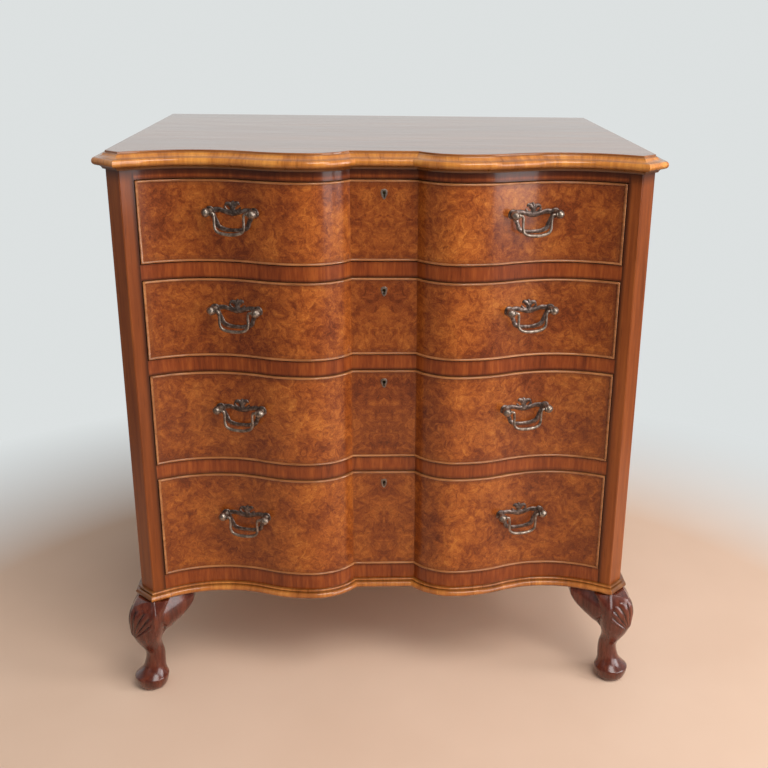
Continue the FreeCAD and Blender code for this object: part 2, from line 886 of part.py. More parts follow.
def knob_and_neck(name):
    """The right-hand post of a handle: a knob bored for the bail, on a neck."""
    sections = []
    for along, across in KNOB_SHARES:
        ring = []
        for i in range(TURNED_SIDES):
            angle = 2 * math.pi * (i + 0.5) / TURNED_SIDES
            radius = across * float(knob_radius)
            x = along * float(knob_half_length)
            ring.append(Vector(x, radius * math.cos(angle), radius * math.sin(angle)))
        sections.append(feature(name + "_knob_section", Part.makePolygon(ring + ring[:1])))
    knob = doc.addObject("Part::Loft", name + "_knob")
    knob.Sections = sections
    knob.Solid = True
    knob.Ruled = True
    place(knob, post_spread / 2, -post_reach, 0)
    neck_start = (post_spread / 2, -post_reach, 0)
    neck = rod(name + "_neck", "y", post_neck_radius, neck_start, post_reach + overrun, STEM_SIDES)
    start = (post_spread / 2 - knob_half_length - overrun, -post_reach, 0)
    bore = rod(name + "_bore", "x", knob_bore_radius, start, knob_bore_depth + overrun, STEM_SIDES)
    return cut(name + "_post", fuse(name + "_body", [knob, neck]), [bore])


def bent_plate(name, bottom, height):
    """The plan of a back plate, bent to the drawer front, raised through a drawer's height."""
    xs = [float(handle_place) + share * float(plate_half_width) for share in PLATE_STATION_SHARES]
    behind = [face_point(x, plate_seat) for x in xs]
    before = [face_point(x, plate_seat + plate_thickness) for x in reversed(xs)]
    return prism(name, polygon(behind + before), bottom, height)


def bent_backing(name, bottom, height):
    """Everything behind the outer face of a back plate, where its posts stand."""
    xs = [float(handle_place) + share * float(plate_half_width) for share in PLATE_STATION_SHARES]
    before = [face_point(x, plate_seat + plate_thickness) for x in xs]
    deep = [Vector(xs[-1], float(front_back), 0), Vector(xs[0], float(front_back), 0)]
    return prism(name, polygon(before + deep), bottom, height)


def keyhole(name, level, start, length):
    eye = rod(name + "_eye", "y", keyhole_radius, (0, start, level), length, TURNED_SIDES)
    xs = middle(keyhole_slot / 2)
    tail = span(name + "_tail", xs, (start, start + length), (level - keyhole_tail, level))
    return fuse(name, [eye, tail])


def drawer(number):
    top, bottom = opening_tops[number - 1], opening_bottoms[number - 1]
    prefix = "drawer_%d_" % number
    low = bottom + drawer_gap + bead_thickness
    high = top - drawer_gap - bead_thickness
    board_low = bottom + drawer_bottom_rise
    board_zs = (board_low, board_low + drawer_bottom_thickness)
    level = (top + bottom) / 2 + handle_lift
    key_level = top - keyhole_drop
    blank_name = prefix + "blank"

    # The front, and the bent sheet that its right-hand back plate is cut from
    half = front_half_width - bead_thickness
    blank = prism(blank_name, strip_plan(half, 0, front_back), low, high - low)
    sheet_metal = bent_plate(prefix + "plate_sheet", low, high - low)

    # The lock is let into the back of the front, its bolt slides up into the rail above
    lock_xs = middle(lock_width / 2)
    lock_ys = (front_back - lock_depth, front_back)
    case = span(prefix + "lock_case", lock_xs, lock_ys, (high - lock_height, high))
    bolt_ys = bolt_range()
    channel = span(
        prefix + "lock_channel",
        middle(bolt_width / 2, bolt_gap),
        (bolt_ys[0] - bolt_gap, bolt_ys[1] + bolt_gap),
        (high - bolt_height - 2 * bolt_gap, high + overrun),
    )
    lock_front = front_back - lock_depth
    lock_hole = keyhole(prefix + "lock_hole", key_level, lock_front - overrun, lock_wall + 2 * overrun)
    node(prefix + "lock", cut(prefix + "lock_body", case, [channel, lock_hole]))
    bolt_zs = (high - bolt_height - bolt_gap, high - bolt_gap)
    bolt_plate = span(prefix + "bolt_plate", middle(bolt_width / 2), bolt_ys, bolt_zs)
    notch = span(
        prefix + "bolt_notch",
        middle(bolt_notch_width / 2),
        (bolt_ys[0] - overrun, bolt_ys[1] + overrun),
        (bolt_zs[0] - overrun, bolt_zs[0] + bolt_notch_height),
    )
    node(prefix + "lock_bolt", cut(prefix + "bolt", bolt_plate, [notch]))

    # The escutcheon is let into the recess of the front, round the keyhole
    shield_level = key_level - escutcheon_drop
    recess = front + recess_depth
    shield_face = mirrored_polygon(ESCUTCHEON_SHARES, escutcheon_half_width, escutcheon_half_height)
    shield_depth = escutcheon_proud + escutcheon_set
    shield = slab(prefix + "shield", shield_face, recess - escutcheon_proud, shield_depth)
    place(shield, z=shield_level)
    key_way = keyhole(prefix + "key_way", key_level, recess - overrun, front_back - recess + 2 * overrun)
    node(prefix + "escutcheon", cut(prefix + "shield_cut", shield, [key_way]))

    hole_radius = stem_radius + stem_gap
    hole_length = post_depth + post_reach
    stem_hole = both_posts(prefix + "stem_hole", hole_radius, -post_reach, hole_length, STEM_SIDES)
    pocket = both_posts(prefix + "nut_pocket", nut_pocket_radius, nut_seat, post_depth, STEM_SIDES)
    right_holes = at_handle(fuse(prefix + "holes", [stem_hole, pocket]), level)
    left_holes = mirror(prefix + "left_holes", right_holes)
    board_slot = span(
        prefix + "front_groove",
        middle(drawer_inner, drawer_groove),
        (front_back - drawer_groove, front_back + overrun),
        board_zs,
    )
    tools = [board_slot, case, shield, key_way, right_holes, left_holes]
    node(prefix + "front", cut(prefix + "front_cut", blank, tools))

    # Cock beads: along the top and bottom edges, and between them at both ends
    proud = strip_plan(front_half_width, bead_proud, front_back)
    lower = prism(prefix + "lower_bead", proud, bottom + drawer_gap, bead_thickness)
    upper = prism(prefix + "upper_bead", proud, high, bead_thickness)
    slit = mortise(prefix + "bolt_slit", high - overrun, bead_thickness + 2 * overrun, bolt_gap)
    inner, outer = face_point(half, bead_proud), face_point(front_half_width, bead_proud)
    depth = float(front_back)
    corners = [inner, outer, Vector(outer.x, depth, 0), Vector(inner.x, depth, 0)]
    end_bead = prism(prefix + "end_bead", polygon(corners), low, high - low)
    beads = [lower, cut(prefix + "upper_bead_cut", upper, [slit]), end_bead]
    node(prefix + "cock_beads", group(prefix + "beads", beads + [mirror(prefix + "left_bead", end_bead)]))

    # The box behind the front
    side_zs = (bottom + drawer_lift, top - drawer_side_drop)
    side = span(prefix + "side", (drawer_inner, drawer_half_width), (front_back, drawer_end), side_zs)
    side_slot = span(
        prefix + "side_groove",
        (drawer_inner - overrun, drawer_inner + drawer_groove),
        (front_back - overrun, drawer_end + overrun),
        board_zs,
    )
    node(prefix + "sides", pair(prefix + "side_pair", cut(prefix + "side_cut", side, [side_slot])))
    back_ys = (drawer_end - drawer_back_thickness, drawer_end)
    back_zs = (board_zs[1], top - drawer_back_drop)
    node(prefix + "back", span(prefix + "back_board", middle(drawer_inner), back_ys, back_zs))
    board_ys = (front_back - drawer_groove, drawer_end)
    board_xs = middle(drawer_inner, drawer_groove)
    node(prefix + "bottom", span(prefix + "bottom_board", board_xs, board_ys, board_zs))

    # Handles: pierced plates that lie on the curved front, posts through it with nuts behind
    plate_face = mirrored_polygon(PLATE_OUTER_SHARES, plate_half_width, plate_drop)
    window = mirrored_polygon(PLATE_INNER_SHARES, plate_half_width, plate_drop)
    flat_plate = slab(prefix + "flat_plate", plate_face.cut(window).Faces[0], -post_reach, 2 * post_reach)
    plate_view = at_handle(group(prefix + "plate_view", [flat_plate]), level)
    plate_shell = common(prefix + "plate_shell", [plate_view, sheet_metal])
    right_plate = cut(prefix + "plate", plate_shell, [right_holes])
    node(prefix + "handle_plates", pair(prefix + "plates", right_plate))
    posts = at_handle(pair(prefix + "post_pair", knob_and_neck(prefix + "handle")), level)
    behind_plate = bent_backing(prefix + "plate_backing", low, high - low)
    standing = cut(prefix + "posts_on_plate", posts, [behind_plate])
    stem_length = stem_end + post_neck_radius
    stem = both_posts(prefix + "stem", stem_radius, -post_neck_radius, stem_length, STEM_SIDES)
    stems = at_handle(stem, level)
    nut = both_posts(prefix + "nut", nut_radius, nut_seat, nut_thickness, STEM_SIDES)
    nut_hole_length = nut_thickness + 2 * overrun
    nut_hole = both_posts(prefix + "nut_hole", stem_radius, nut_seat - overrun, nut_hole_length, STEM_SIDES)
    nuts = at_handle(cut(prefix + "nuts", nut, [nut_hole]), level)
    right_posts = group(prefix + "right_posts", [fuse(prefix + "posts_and_stems", [standing, stems]), nuts])
    node(prefix + "handle_posts", pair(prefix + "posts_and_nuts", right_posts))
    right_bail = bail(prefix + "bail", level)
    node(prefix + "bail_right", right_bail)
    node(prefix + "bail_left", mirror(prefix + "bail_mirrored", right_bail))


top_board()
moulding(
    "top_moulding",
    TOP_SECTION_SHARES,
    top_moulding_reach,
    top_moulding_height,
    case_top,
    top_board_inset,
)
case_sides()
back_panel()
corner_posts()
front_rails()
moulding("base_moulding", BASE_SECTION_SHARES, base_moulding_reach, base_moulding_height, leg_height, 0)
dust_boards()
drawer_runners()
legs_and_brackets()
for number in (1, 2, 3, 4):
    drawer(number)

doc.recompute()
faults = [thing.Name for thing in doc.Objects if "Invalid" in thing.State or "Error" in thing.State]
if faults:
    raise RuntimeError("recompute failed: " + ", ".join(faults))

os.makedirs("parts", exist_ok=True)
for thing in nodes:
    shape = thing.Shape
    if shape.isNull() or not shape.isValid() or not shape.Solids:
        raise RuntimeError("bad shape: " + thing.Label)
    shape.exportStep("parts/%s.step" % thing.Label)
print(len(nodes), "sub-parts written")
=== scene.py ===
import cmath
from math import acos, asin, atan2, copysign, cos, hypot, pi, radians, sin, sqrt

import bmesh
import bpy
from mathutils import Matrix, Vector

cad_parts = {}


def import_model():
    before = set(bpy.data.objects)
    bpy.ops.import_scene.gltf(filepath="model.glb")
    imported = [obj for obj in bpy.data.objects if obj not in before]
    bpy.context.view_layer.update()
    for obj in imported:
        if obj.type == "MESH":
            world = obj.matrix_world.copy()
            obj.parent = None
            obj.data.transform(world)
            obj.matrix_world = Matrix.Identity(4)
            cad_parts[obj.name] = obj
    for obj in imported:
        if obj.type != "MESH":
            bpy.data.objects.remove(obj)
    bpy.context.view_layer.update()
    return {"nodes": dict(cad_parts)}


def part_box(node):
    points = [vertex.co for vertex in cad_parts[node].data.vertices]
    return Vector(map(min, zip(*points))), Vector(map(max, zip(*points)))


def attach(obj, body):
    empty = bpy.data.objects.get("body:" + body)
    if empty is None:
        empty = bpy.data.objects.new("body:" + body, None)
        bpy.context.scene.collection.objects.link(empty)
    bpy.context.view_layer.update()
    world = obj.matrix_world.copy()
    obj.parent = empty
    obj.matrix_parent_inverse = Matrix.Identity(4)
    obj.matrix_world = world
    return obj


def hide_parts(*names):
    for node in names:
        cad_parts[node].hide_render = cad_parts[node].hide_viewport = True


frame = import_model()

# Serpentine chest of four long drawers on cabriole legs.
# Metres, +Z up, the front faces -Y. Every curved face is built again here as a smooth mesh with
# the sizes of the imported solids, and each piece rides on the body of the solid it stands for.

MM = 0.001

# Sizes of the case, read from the frame
HALF_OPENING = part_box("front_rails")[1].x
RAIL_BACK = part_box("front_rails")[1].y
HALF_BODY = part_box("case_sides")[1].x
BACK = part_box("back_panel")[1].y
LEG_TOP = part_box("corner_posts")[0].z
CASE_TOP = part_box("corner_posts")[1].z
POST_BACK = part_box("corner_posts")[1].y
BOARD_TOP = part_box("top_board")[1].z

# The front line seen from above: flat recess, inner arc, lobe, hollow, straight post, canted corner
RECESS_DEPTH = 36.2 * MM
LOBE_DEPTH = 3.4 * MM
HOLLOW_DEPTH = 32.9 * MM
LOBE_X = 0.32367 * HALF_OPENING
INNER_RADIUS = 0.22071 * HALF_OPENING
HOLLOW_X = 0.7432 * HALF_OPENING
LOBE_SHARE = 0.496
CORNER_CANT = 22.3 * MM
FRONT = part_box("front_rails")[0].y - LOBE_DEPTH

FLAT_STEPS = 4
INNER_STEPS = 20
LOBE_STEPS = 18
HOLLOW_STEPS = 22
FACING = -pi / 2

gap_x = HOLLOW_X - LOBE_X
gap_y = HOLLOW_DEPTH - LOBE_DEPTH
RADIUS_SUM = (gap_x ** 2 + gap_y ** 2) / (2 * gap_y)
LOBE_RADIUS = LOBE_SHARE * RADIUS_SUM
HOLLOW_RADIUS = RADIUS_SUM - LOBE_RADIUS
TURN = atan2(gap_y - RADIUS_SUM, gap_x)
INNER_CENTRE = Vector((LOBE_X, FRONT + LOBE_DEPTH + INNER_RADIUS))
LOBE_CENTRE = Vector((LOBE_X, FRONT + LOBE_DEPTH + LOBE_RADIUS))
HOLLOW_CENTRE = Vector((HOLLOW_X, FRONT + HOLLOW_DEPTH - HOLLOW_RADIUS))


def polar(centre, radius, angle):
    return Vector((centre.x + radius * cos(angle), centre.y + radius * sin(angle)))


def spread(start, end, steps):
    """Evenly spaced values from start to end, both included."""
    return [start + (end - start) * i / steps for i in range(steps + 1)]


def circle(sides):
    return [2 * pi * i / sides for i in range(sides)]


def clamp(value):
    return min(max(value, 0), 1)


def ease(value, low, high):
    """A smooth step from 0 at low to 1 at high."""
    share = clamp((value - low) / (high - low))
    return share * share * (3 - 2 * share)


def hollow_angle(x, out=0):
    """Where the hollow, moved forward by out, reaches the distance x from the middle."""
    return acos((x - HOLLOW_CENTRE.x) / (HOLLOW_RADIUS - out))


POST_ANGLE = hollow_angle(HALF_OPENING)
POST_SLOPE = Vector((sin(POST_ANGLE), -cos(POST_ANGLE)))
ARRIS_X = HALF_BODY - CORNER_CANT
POST_START = polar(HOLLOW_CENTRE, HOLLOW_RADIUS, POST_ANGLE)
ARRIS = POST_START + POST_SLOPE * ((ARRIS_X - POST_START.x) / POST_SLOPE.x)
CANT_SLOPE = Vector((sqrt(0.5), sqrt(0.5)))
CANT_NORMAL = Vector((CANT_SLOPE.y, -CANT_SLOPE.x))


def recess_corner(out):
    """The angle at which the inner arc, moved forward by out, meets the flat recess."""
    radius = INNER_RADIUS + out
    return -pi + asin((radius - (RECESS_DEPTH - LOBE_DEPTH)) / radius)


def front_half(out, end_angle):
    """The right half of the front line, moved forward by out, from the middle outwards."""
    corner_angle = recess_corner(out)
    corner = polar(INNER_CENTRE, INNER_RADIUS + out, corner_angle)
    points = [Vector((corner.x * i / FLAT_STEPS, corner.y)) for i in range(FLAT_STEPS)]
    for angle in spread(corner_angle, FACING, INNER_STEPS):
        points.append(polar(INNER_CENTRE, INNER_RADIUS + out, angle))
    for angle in spread(FACING, TURN, LOBE_STEPS)[1:]:
        points.append(polar(LOBE_CENTRE, LOBE_RADIUS + out, angle))
    for angle in spread(TURN + pi, end_angle, HOLLOW_STEPS)[1:]:
        points.append(polar(HOLLOW_CENTRE, HOLLOW_RADIUS - out, angle))
    return points


def crossing(start, slope, other, other_slope):
    gap = other - start
    return start + slope * (gap.cross(other_slope) / slope.cross(other_slope))


def case_half(out):
    """The right half of the whole case's outline, moved outwards by out, to the back."""
    points = front_half(out, POST_ANGLE)
    cant = ARRIS + CANT_NORMAL * out
    points.append(crossing(points[-1], POST_SLOPE, cant, CANT_SLOPE))
    points.append(crossing(cant, CANT_SLOPE, Vector((HALF_BODY + out, 0)), Vector((0, 1))))
    points.append(Vector((HALF_BODY + out, BACK)))
    return points


def both_halves(points):
    """The left half mirrored from the right, then the right half."""
    return [Vector((-p.x, p.y)) for p in reversed(points[1:])] + points


def front_at(x, out=0):
    """The point and outward normal of the lobe, hollow or post face at x, moved out."""
    side = copysign(1, x)
    x = abs(x)
    start = polar(HOLLOW_CENTRE, HOLLOW_RADIUS - out, POST_ANGLE)
    if x > start.x:
        point = start + POST_SLOPE * ((x - start.x) / POST_SLOPE.x)
        normal = Vector((POST_SLOPE.y, -POST_SLOPE.x))
    elif x > polar(LOBE_CENTRE, LOBE_RADIUS + out, TURN).x:
        point = polar(HOLLOW_CENTRE, HOLLOW_RADIUS - out, hollow_angle(x, out))
        normal = (HOLLOW_CENTRE - point).normalized()
    else:
        angle = -acos((x - LOBE_CENTRE.x) / (LOBE_RADIUS + out))
        point = polar(LOBE_CENTRE, LOBE_RADIUS + out, angle)
        normal = (point - LOBE_CENTRE).normalized()
    return Vector((side * point.x, point.y)), Vector((side * normal.x, normal.y))


# The drawers' openings: top and bottom follow from the beads of each drawer
BEAD = 3.2 * MM
BEAD_PROUD = 2.5 * MM
DRAWER_GAP = 1.2 * MM
FRONT_BACK = FRONT + 52 * MM
FRONT_HALF = HALF_OPENING - DRAWER_GAP
OPENINGS = {}
for drawer in ("drawer_1", "drawer_2", "drawer_3", "drawer_4"):
    low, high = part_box(drawer + "_cock_beads")
    OPENINGS[drawer] = (high.z + DRAWER_GAP, low.z - DRAWER_GAP)


# Mesh helpers


def raised(point, z):
    return Vector((point.x, point.y, z))


def walk(points):
    """How far along the line each of its points is."""
    walked = [0]
    for before, after in zip(points, points[1:]):
        walked.append(walked[-1] + (after - before).length)
    return walked


def bend(start, via, end, steps):
    """Points along the circle through three points of a section, without the first."""
    a, b, c = (complex(*p) for p in (start, via, end))
    ratio = (c - a) / (b - a)
    centre = a + (b - a) * (ratio - abs(ratio) ** 2) / (ratio - ratio.conjugate())
    a, b, c = a - centre, b - centre, c - centre
    turn = cmath.phase(b / a) + cmath.phase(c / b)
    line = [centre + a * cmath.rect(1, angle) for angle in spread(0, turn, steps)[1:]]
    return [(p.real, p.imag) for p in line]


def catmull(points, steps):
    """A smooth line through the given tuples, with steps points between each two."""
    line = []
    last = len(points) - 1
    for i in range(last):
        p0, p1, p2, p3 = (points[min(max(i + k, 0), last)] for k in (-1, 0, 1, 2))
        for j in range(steps):
            t = j / steps
            line.append(tuple(
                0.5 * (2 * b + (c - a) * t + (2 * a - 5 * b + 4 * c - d) * t * t
                       + (3 * b - a - 3 * c + d) * t ** 3)
                for a, b, c, d in zip(p0, p1, p2, p3)
            ))
    line.append(tuple(points[last]))
    return line


def with_mirror(half):
    """A symmetrical line from its first half, which ends in the middle."""
    return half + [(-x, *rest) for x, *rest in half[-2::-1]]


class Form:
    """A mesh that grows grid by grid, with an optional map of its grain."""

    def __init__(self):
        self.mesh = bmesh.new()
        self.map = self.mesh.loops.layers.uv.new("grain")

    def grid(self, rows, loop_rows=False, loop_columns=False, grain=None, caps=()):
        """Faces between neighbouring points of the rows; caps names rows that are closed by a face."""
        made = [[self.mesh.verts.new(p) for p in row] for row in rows]
        for i in range(len(made) if loop_rows else len(made) - 1):
            for j in range(len(made[0]) if loop_columns else len(made[0]) - 1):
                next_i, next_j = (i + 1) % len(made), (j + 1) % len(made[0])
                spots = ((i, j), (next_i, j), (next_i, next_j), (i, next_j))
                face = self.mesh.faces.new([made[a][b] for a, b in spots])
                if grain:
                    for loop, (a, b) in zip(face.loops, spots):
                        loop[self.map].uv = grain(a, b)
        for row in caps:
            self.mesh.faces.new(made[row])
        return made

    def solid(self, rings, grain=None):
        """A closed form through the rings."""
        self.grid(rings, loop_columns=True, grain=grain, caps=(0, -1))

    def done(self, mirrored=False, merge=0, angle=32):
        form = self.mesh
        if mirrored:
            everything = form.verts[:] + form.edges[:] + form.faces[:]
            bmesh.ops.mirror(form, geom=everything, matrix=Matrix.Identity(4), axis="X")
        if merge:
            bmesh.ops.remove_doubles(form, verts=form.verts, dist=merge)
        bmesh.ops.recalc_face_normals(form, faces=form.faces)
        mesh = bpy.data.meshes.new("form")
        form.to_mesh(mesh)
        form.free()
        soften(mesh, angle)
        return mesh


def soften(mesh, angle):
    """Smooth shading, with edges over the angle kept sharp."""
    mesh.polygons.foreach_set("use_smooth", [True] * len(mesh.polygons))
    mesh.set_sharp_from_angle(angle=radians(angle))


def placed(name, data):
    """A new object in the scene."""
    obj = bpy.data.objects.new(name, data)
    bpy.context.scene.collection.objects.link(obj)
    return obj


def piece(name, mesh, body, material, replaced):
    """One visible piece, in place, riding on its body."""
    obj = placed(name, mesh)
    mesh.materials.clear()
    mesh.materials.append(material)
    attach(obj, body)
    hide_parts(replaced)


def repaint(node, material):
    """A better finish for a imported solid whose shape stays."""
    for place in frame["nodes"][node].material_slots:
        place.link = "OBJECT"
        place.material = material


def carve(mesh, tools, angle=32):
    """Cut the tools, each a mesh, out of a mesh."""
    blank = placed("blank", mesh)
    cutters = [placed("cutter", tool) for tool in tools]
    for cutter in cutters:
        step = blank.modifiers.new("cut", "BOOLEAN")
        step.operation = "DIFFERENCE"
        step.solver = "EXACT"
        step.object = cutter
    graph = bpy.context.evaluated_depsgraph_get()
    result = bpy.data.meshes.new_from_object(blank.evaluated_get(graph))
    for obj in cutters + [blank]:
        bpy.data.objects.remove(obj)
    for tool in tools:
        bpy.data.meshes.remove(tool)
    soften(result, angle)
    return result


def prism(rings):
    """A cutting tool between two rings."""
    form = Form()
    form.solid(rings)
    return form.done()


def block(low, high):
    """A cutting block between two corners."""
    plan = ((low[0], low[1]), (high[0], low[1]), (high[0], high[1]), (low[0], high[1]))
    return prism([[Vector((x, y, z)) for x, y in plan] for z in (low[2], high[2])])


def rod(start, direction, radius, length, sides=24):
    """A round cutting rod from start along direction."""
    turn = direction.to_track_quat("Z", "Y")
    ring = [(radius * cos(angle), radius * sin(angle)) for angle in circle(sides)]
    return prism([[start + turn @ Vector((x, y, z)) for x, y in ring] for z in (0, length)])


# Materials


def colour(red, green, blue):
    return (red, green, blue, 1)


class Nodes:
    """A tree of shading nodes under construction."""

    def __init__(self, tree):
        self.tree = tree

    def add(self, kind, inputs=None, **settings):
        node = self.tree.nodes.new("ShaderNode" + kind)
        for key, value in settings.items():
            setattr(node, key, value)
        for key, value in (inputs or {}).items():
            self.put(node, key, value)
        return node

    def put(self, node, key, value):
        if isinstance(value, bpy.types.NodeSocket):
            self.tree.links.new(value, node.inputs[key])
        else:
            node.inputs[key].default_value = value

    def math(self, operation, first, second=0, third=0):
        return self.add("Math", {0: first, 1: second, 2: third}, operation=operation).outputs[0]

    def vector(self, operation, first, second):
        """Vector maths. To scale, second is a number."""
        key = "Scale" if operation == "SCALE" else 1
        return self.add("VectorMath", {0: first, key: second}, operation=operation).outputs[0]

    def split(self, vector):
        return self.add("SeparateXYZ", {"Vector": vector}).outputs

    def rays(self):
        """Rays that show the background as it is, and those of them that come from polish or metal."""
        path = self.add("LightPath").outputs
        shown = self.math("MAXIMUM", path["Is Camera Ray"], path["Is Glossy Ray"])
        return self.math("MAXIMUM", shown, path["Is Transmission Ray"]), path["Is Glossy Ray"]


class Paint(Nodes):
    """A material under construction."""

    def __init__(self, name):
        self.material = bpy.data.materials.new(name)
        self.material.use_nodes = True
        super().__init__(self.material.node_tree)
        self.shader = self.tree.nodes["Principled BSDF"]

    def place(self, scale=(1, 1, 1), uv=False):
        """Coordinates on the object in metres, or along its grain map, times a scale."""
        source = self.grain_map() if uv else self.add("TexCoord").outputs["Object"]
        return self.add("Mapping", {"Vector": source, "Scale": scale}).outputs[0]

    def grain_map(self):
        return self.add("UVMap", uv_map="grain").outputs[0]

    def noise(self, vector, scale, detail=3, rough=0.55, distortion=0, output=0):
        names = ("Vector", "Scale", "Detail", "Roughness", "Distortion")
        values = dict(zip(names, (vector, scale, detail, rough, distortion)))
        return self.add("TexNoise", values).outputs[output]

    def between(self, value, low, high, to_low=0, to_high=1):
        return self.add("MapRange", dict(enumerate((value, low, high, to_low, to_high)))).outputs[0]

    def ramp(self, value, stops):
        node = self.add("ValToRGB", {"Fac": value})
        points = node.color_ramp.elements
        points[0].position, points[0].color = stops[0][0], colour(*stops[0][1])
        points[1].position, points[1].color = stops[-1][0], colour(*stops[-1][1])
        for place, shade in stops[1:-1]:
            points.new(place).color = colour(*shade)
        return node.outputs[0]

    def mix(self, factor, first, second, blend="MIX"):
        values = {0: factor, 6: first, 7: second}
        return self.add("Mix", values, data_type="RGBA", blend_type=blend).outputs[2]

    def bump(self, height, distance, strength):
        values = {"Height": height, "Distance": distance, "Strength": strength}
        return self.add("Bump", values).outputs[0]

    def finish(self, shade, rough, normal=None, **constants):
        self.put(self.shader, "Base Color", shade)
        self.put(self.shader, "Roughness", rough)
        if normal:
            self.put(self.shader, "Normal", normal)
        for key, value in constants.items():
            self.put(self.shader, key.replace("_", " "), value)
        return self.material


def polish(coat, rough):
    """Constants of a clear varnish over wood."""
    return {"Coat_Weight": coat, "Coat_Roughness": rough, "Specular_IOR_Level": 0.15}


def burr_walnut():
    """Burr walnut veneer: clouds, dark swirls, fine mottling and small eyes."""
    paint = Paint("burr_walnut")
    across, back, height = paint.split(paint.place())
    mirrored_x = paint.math("ABSOLUTE", across)
    # The recess is matched about its middle, and the two sides are not
    in_recess = paint.math("LESS_THAN", mirrored_x, RECESS_HALF)
    side_x = paint.math("ADD", across, 0.37)
    x = paint.add("Mix", {0: in_recess, 2: side_x, 3: mirrored_x}).outputs[0]
    flat = paint.add("CombineXYZ", {0: x, 1: back, 2: height}).outputs[0]
    drift = paint.noise(flat, 22, 3, 0.6, output="Color")
    drift = paint.vector("SUBTRACT", drift, (0.5, 0.5, 0.5))
    warped = paint.vector("ADD", flat, paint.vector("SCALE", drift, 0.034))
    clouds = paint.noise(warped, 19, 3, 0.6, 0.3)
    mottle = paint.noise(warped, 105, 6, 0.66, 0.8)
    fine = paint.noise(flat, 520, 3, 0.6)
    level = paint.math("MULTIPLY_ADD", mottle, 0.6, paint.math("MULTIPLY", clouds, 0.42))
    level = paint.math("MULTIPLY_ADD", fine, 0.24, level)
    figure = paint.ramp(paint.between(level, 0.42, 0.84), (
        (0, (0.066, 0.0108, 0.0022)),
        (0.28, (0.14, 0.0265, 0.0042)),
        (0.5, (0.225, 0.05, 0.007)),
        (0.72, (0.32, 0.085, 0.012)),
        (1, (0.44, 0.145, 0.023)),
    ))
    # Dark swirling veins run where a slow noise passes its middle value
    veins = paint.noise(warped, 36, 4, 0.62, 1)
    vein = paint.math("ABSOLUTE", paint.math("SUBTRACT", veins, 0.5))
    vein = paint.between(vein, 0, 0.035, 0.26, 0)
    figure = paint.mix(vein, figure, colour(0.075, 0.015, 0.004))
    # Small dark eyes gather in places
    cells = paint.add("TexVoronoi", {"Vector": warped, "Scale": 250, "Randomness": 1})
    eye = paint.between(cells.outputs["Distance"], 0.08, 0.26, 1, 0)
    gather = paint.between(paint.noise(flat, 30, 2), 0.44, 0.62)
    eye = paint.math("MULTIPLY", paint.math("MULTIPLY", eye, gather), 0.65)
    figure = paint.mix(eye, figure, colour(0.06, 0.011, 0.0035))
    # Painted light: the lobes are lit lighter, most of all high up, and the hollows are not
    lobe_light = paint.math("ABSOLUTE", paint.math("SUBTRACT", mirrored_x, LOBE_X))
    lobe_light = paint.between(lobe_light, 0, 0.115, 1, 0)
    high_up = paint.between(height, 0.2, 0.75, 0.6, 1.2)
    lobe_light = paint.math("MULTIPLY", paint.math("MULTIPLY", lobe_light, lobe_light), high_up)
    figure = paint.mix(lobe_light, figure, colour(1.45, 1.55, 1.6), "MULTIPLY")
    # A plain darker band lies along the face inside the beads
    edge = paint.split(paint.grain_map())
    nearest = paint.math("MINIMUM", edge[0], edge[1])
    band = paint.between(nearest, 0.005, 0.0058, 0.3, 0)
    figure = paint.mix(band, figure, colour(0.135, 0.03, 0.009))
    rough = paint.between(mottle, 0.3, 0.7, 0.3, 0.42)
    return paint.finish(figure, rough, paint.bump(fine, 0.00005, 0.35), **polish(0.5, 0.16))


def straight_wood(name, stops, along, fine, rough=0.34, coat=0.45, uv=False, figure=0.45,
                  carved=False, painted_shade_levels=(), corners=()):
    """Straight-grained wood: along gives how slowly the pattern changes along each axis.

    The painted shade levels give heights in metres with how far the wood is darkened there, and
    corners two distances from the middle with the same.
    """
    paint = Paint(name)
    spot = paint.place(along, uv)
    drift = paint.noise(spot, 3, 2, output="Color")
    warped = paint.vector("ADD", spot, paint.vector("SCALE", drift, 0.05))
    bands = paint.noise(warped, fine * 0.16, 3, 0.6, 0.8)
    streaks = paint.noise(warped, fine, 4, 0.65)
    level = paint.math("MULTIPLY_ADD", bands, figure, paint.math("MULTIPLY", streaks, 1 - figure))
    shade = paint.ramp(paint.between(level, 0.3, 0.7), stops)
    pore = paint.between(paint.noise(warped, fine * 3.2, 2, 0.5), 0.62, 0.72, 0, 0.35)
    dark = colour(*(0.35 * c for c in stops[0][1]))
    shade = paint.mix(pore, shade, dark)
    if carved:
        depth = paint.split(paint.grain_map())[0]
        shade = paint.mix(paint.math("MULTIPLY", depth, 0.8), shade, dark)
    # Painted shade: the wood is darkened at given heights, and beside given distances from the middle
    if painted_shade_levels:
        low, high = painted_shade_levels[0][0], painted_shade_levels[-1][0]
        across, back, height = paint.split(paint.place())
        painted_shade_amount = paint.between(height, low, high)
        painted_shade_amount = paint.ramp(painted_shade_amount, [((z - low) / (high - low), (amount,) * 3) for z, amount in painted_shade_levels])
        if corners:
            corner = paint.between(paint.math("ABSOLUTE", across), *corners)
            painted_shade_amount = paint.math("MAXIMUM", painted_shade_amount, corner)
        shade = paint.mix(painted_shade_amount, shade, dark)
    gloss = paint.between(streaks, 0.3, 0.7, rough - 0.04, rough + 0.06)
    normal = paint.bump(streaks, 0.00006, 0.4)
    return paint.finish(shade, gloss, normal, **polish(coat, 0.2 if carved else 0.13))


def antique_brass(name, stops):
    """Darkened brass, rubbed bright in places."""
    paint = Paint(name)
    spot = paint.place()
    cloud = paint.noise(spot, 190, 4, 0.6)
    grit = paint.noise(spot, 1400, 2, 0.6)
    shade = paint.ramp(paint.between(cloud, 0.3, 0.7), stops)
    rough = paint.between(cloud, 0.3, 0.7, 0.5, 0.32)
    return paint.finish(shade, rough, paint.bump(grit, 0.00006, 0.5), Metallic=0.9)


